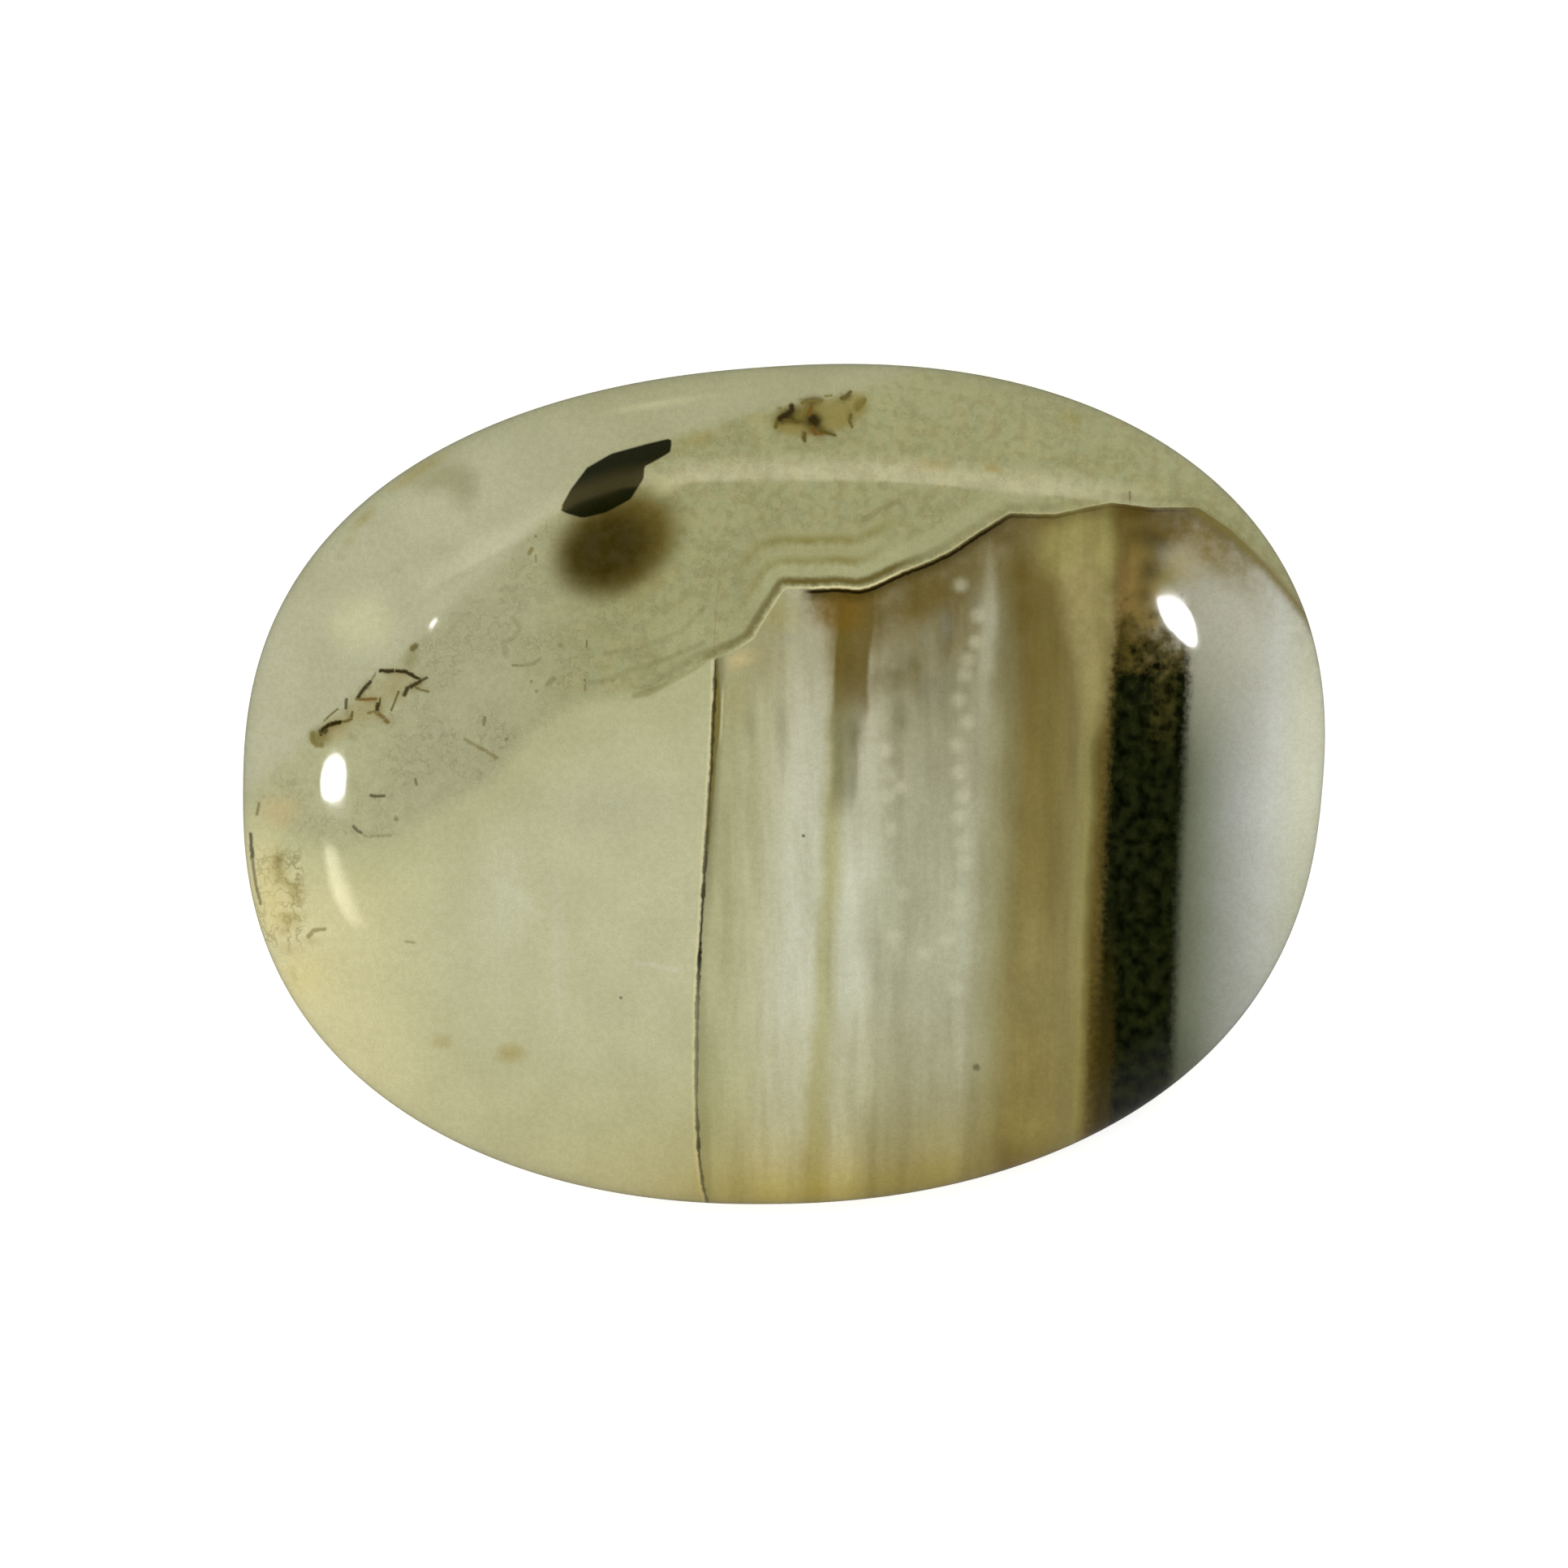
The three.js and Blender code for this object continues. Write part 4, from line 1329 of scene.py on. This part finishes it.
REFLECTORS = (
    Reflector(
        "left lamp",
        40,
        (
            (-12.31, 0.82, -12.26, 0.82), (-12.5, 0.69, -12.06, 0.69), (-12.64, 0.43, -11.98, 0.43),
            (-12.71, 0.05, -12.03, 0.05), (-12.6, -0.27, -12.18, -0.27), (-12.42, -0.39, -12.37, -0.39),
        ),
    ),
    Reflector(
        "right lamp",
        40,
        (
            (10.64, 5.06, 10.25, 5.07), (10.9, 4.92, 10.23, 4.92), (11.11, 4.67, 10.29, 4.63),
            (11.23, 4.33, 10.48, 4.31), (11.27, 4, 10.78, 4), (11.24, 3.8, 11.04, 3.8),
        ),
    ),
    Reflector(
        "small lamp",
        30,
        (
            (-9.56, 4.5, -9.5, 4.46), (-9.7, 4.28, -9.63, 4.24),
        ),
    ),
    Reflector(
        "left card",
        7,
        (
            (-12.66, -1.62, -12.35, -1.62, 0), (-12.64, -1.85, -12.22, -1.85, 0.9),
            (-12.6, -2.43, -12, -2.25), (-12.44, -3.09, -11.74, -2.98, 0.95),
            (-12.15, -3.6, -11.51, -3.6, 0.7), (-11.95, -3.95, -11.38, -3.95, 0),
        ),
        "#fff6dc",
        ((0, 0), (0.3, 1), (0.6, 0.8), (1, 0)),
    ),
    Reflector(
        "window strip",
        3,
        (
            (-10.37, 5.92, -9.86, 5.1, 0.25), (-9.03, 6.62, -8.5, 5.86, 0.55), (-7.24, 7.55, -7, 6.68, 0.7),
            (-5.91, 8.33, -5.7, 7.62, 0.45), (-4.58, 8.76, -4.37, 8.06, 0.35), (-3.3, 8.95, -3, 8.13, 0.55),
            (-2.7, 9.02, -2.5, 8.2), (-1.47, 9.1, -1.46, 8.25), (0.76, 9.16, 0.75, 8.25),
            (2.98, 9.12, 2.97, 8.22), (4.76, 8.95, 4.75, 8.05, 0.95), (6.54, 8.78, 6.53, 7.85),
            (8.33, 8.6, 8.31, 7.75, 0.8), (10.13, 8.3, 9.88, 7.6, 0.35), (11.48, 7.8, 11.01, 7.1, 0),
        ),
        "#fff0da",
        ((0, 0), (0.3, 0.45), (0.55, 1), (0.9, 1.15), (1, 0)),
    ),
)


@dataclass
class Studio:
    """The pale floor, the soft light and the camera that looks straight down."""

    form: StoneForm
    lens: float = 200.0
    sensor: float = 36.0
    clip: tuple[float, float] = (0.01, 10)
    frame_width: float = 43.483
    floor_size: float = 3.0
    floor_colour: str = "#f7f7f5"
    floor_glow: float = 0.35
    sky_light: float = 1.13
    key_light: float = 0.12
    key_way: tuple[float, float, float] = (-0.6, 0.35, 0.72)
    horizon_gloss: float = 0.13

    @property
    def camera_height(self) -> float:
        """The camera's height over the floor in millimetres, so that the frame is filled at the girdle."""
        return self.form.girdle_height + self.frame_width * self.lens / self.sensor

    def build(self) -> None:
        """Build the whole studio."""
        self.build_camera()
        self.build_floor()
        self.build_sky()
        camera = Vector((0, 0, self.camera_height))
        for reflector in REFLECTORS:
            LOG.info("%s", reflector.build(self.form, camera).name)
        bpy.context.scene.view_settings.view_transform = "Standard"

    def build_camera(self) -> None:
        """Stand the camera over the middle of the stone."""
        data = bpy.data.cameras.new("camera")
        data.lens, data.sensor_width = self.lens, self.sensor
        data.clip_start, data.clip_end = self.clip
        camera = bpy.data.objects.new("camera", data)
        camera.location = (0, 0, self.camera_height * MM)
        bpy.context.scene.collection.objects.link(camera)
        bpy.context.scene.camera = camera

    def build_floor(self) -> None:
        """Lay the plain pale floor under the stone."""
        half = self.floor_size / 2
        corners = [(-half, -half, 0), (half, -half, 0), (half, half, 0), (-half, half, 0)]
        floor = add_mesh("floor", corners, [(0, 1, 2, 3)])
        material = bpy.data.materials.new("pale floor")
        material.use_nodes = True
        pale = linear_from_hex(self.floor_colour)
        for name, value in (
            ("Base Color", pale),
            ("Roughness", 1.0),
            ("Specular IOR Level", 0.0),
            ("Emission Color", pale),
            ("Emission Strength", self.floor_glow),
        ):
            material.node_tree.nodes["Principled BSDF"].inputs[name].default_value = value
        floor.data.materials.append(material)
        floor.visible_glossy = False

    def build_sky(self) -> None:
        """Light the studio like a white tent, brighter from one side, whose ceiling gloss sees as dark."""
        world = bpy.data.worlds.new("studio")
        bench = Bench(bare_tree(world))
        way = bench.lay("TexCoord").outputs["Generated"]
        height = bench.lay("SeparateXYZ", {0: way}).outputs[2]
        horizon = bench.rise(height, 0.5, 0.0, 0.0, self.horizon_gloss)
        facing = bench.lay("VectorMath", {0: way, 1: self.key_way}, operation="DOT_PRODUCT").outputs["Value"]
        light = bench.math("MULTIPLY_ADD", facing, self.key_light, self.sky_light)
        glossy = bench.lay("LightPath").outputs["Is Glossy Ray"]
        unseen = bench.math("SUBTRACT", 1.0, glossy)
        strength = bench.math("ADD", bench.product(glossy, horizon), bench.product(unseen, light))
        shine = bench.lay("Background", {"Color": (1, 1, 1, 1), "Strength": strength})
        bench.lay("OutputWorld", {"Surface": shine.outputs[0]})
        world.cycles.sampling_method = "NONE"
        bpy.context.scene.world = world


def main() -> None:
    """Build the stone and its studio."""
    logging.basicConfig(level=logging.INFO, format="%(message)s")
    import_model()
    low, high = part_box(STONE_NODE)
    form = StoneForm(*((high - low) / MM))
    AgateStone(form, AgateFinish()).build(Effects())
    Studio(form).build()


if __name__ == "__main__":
    main()
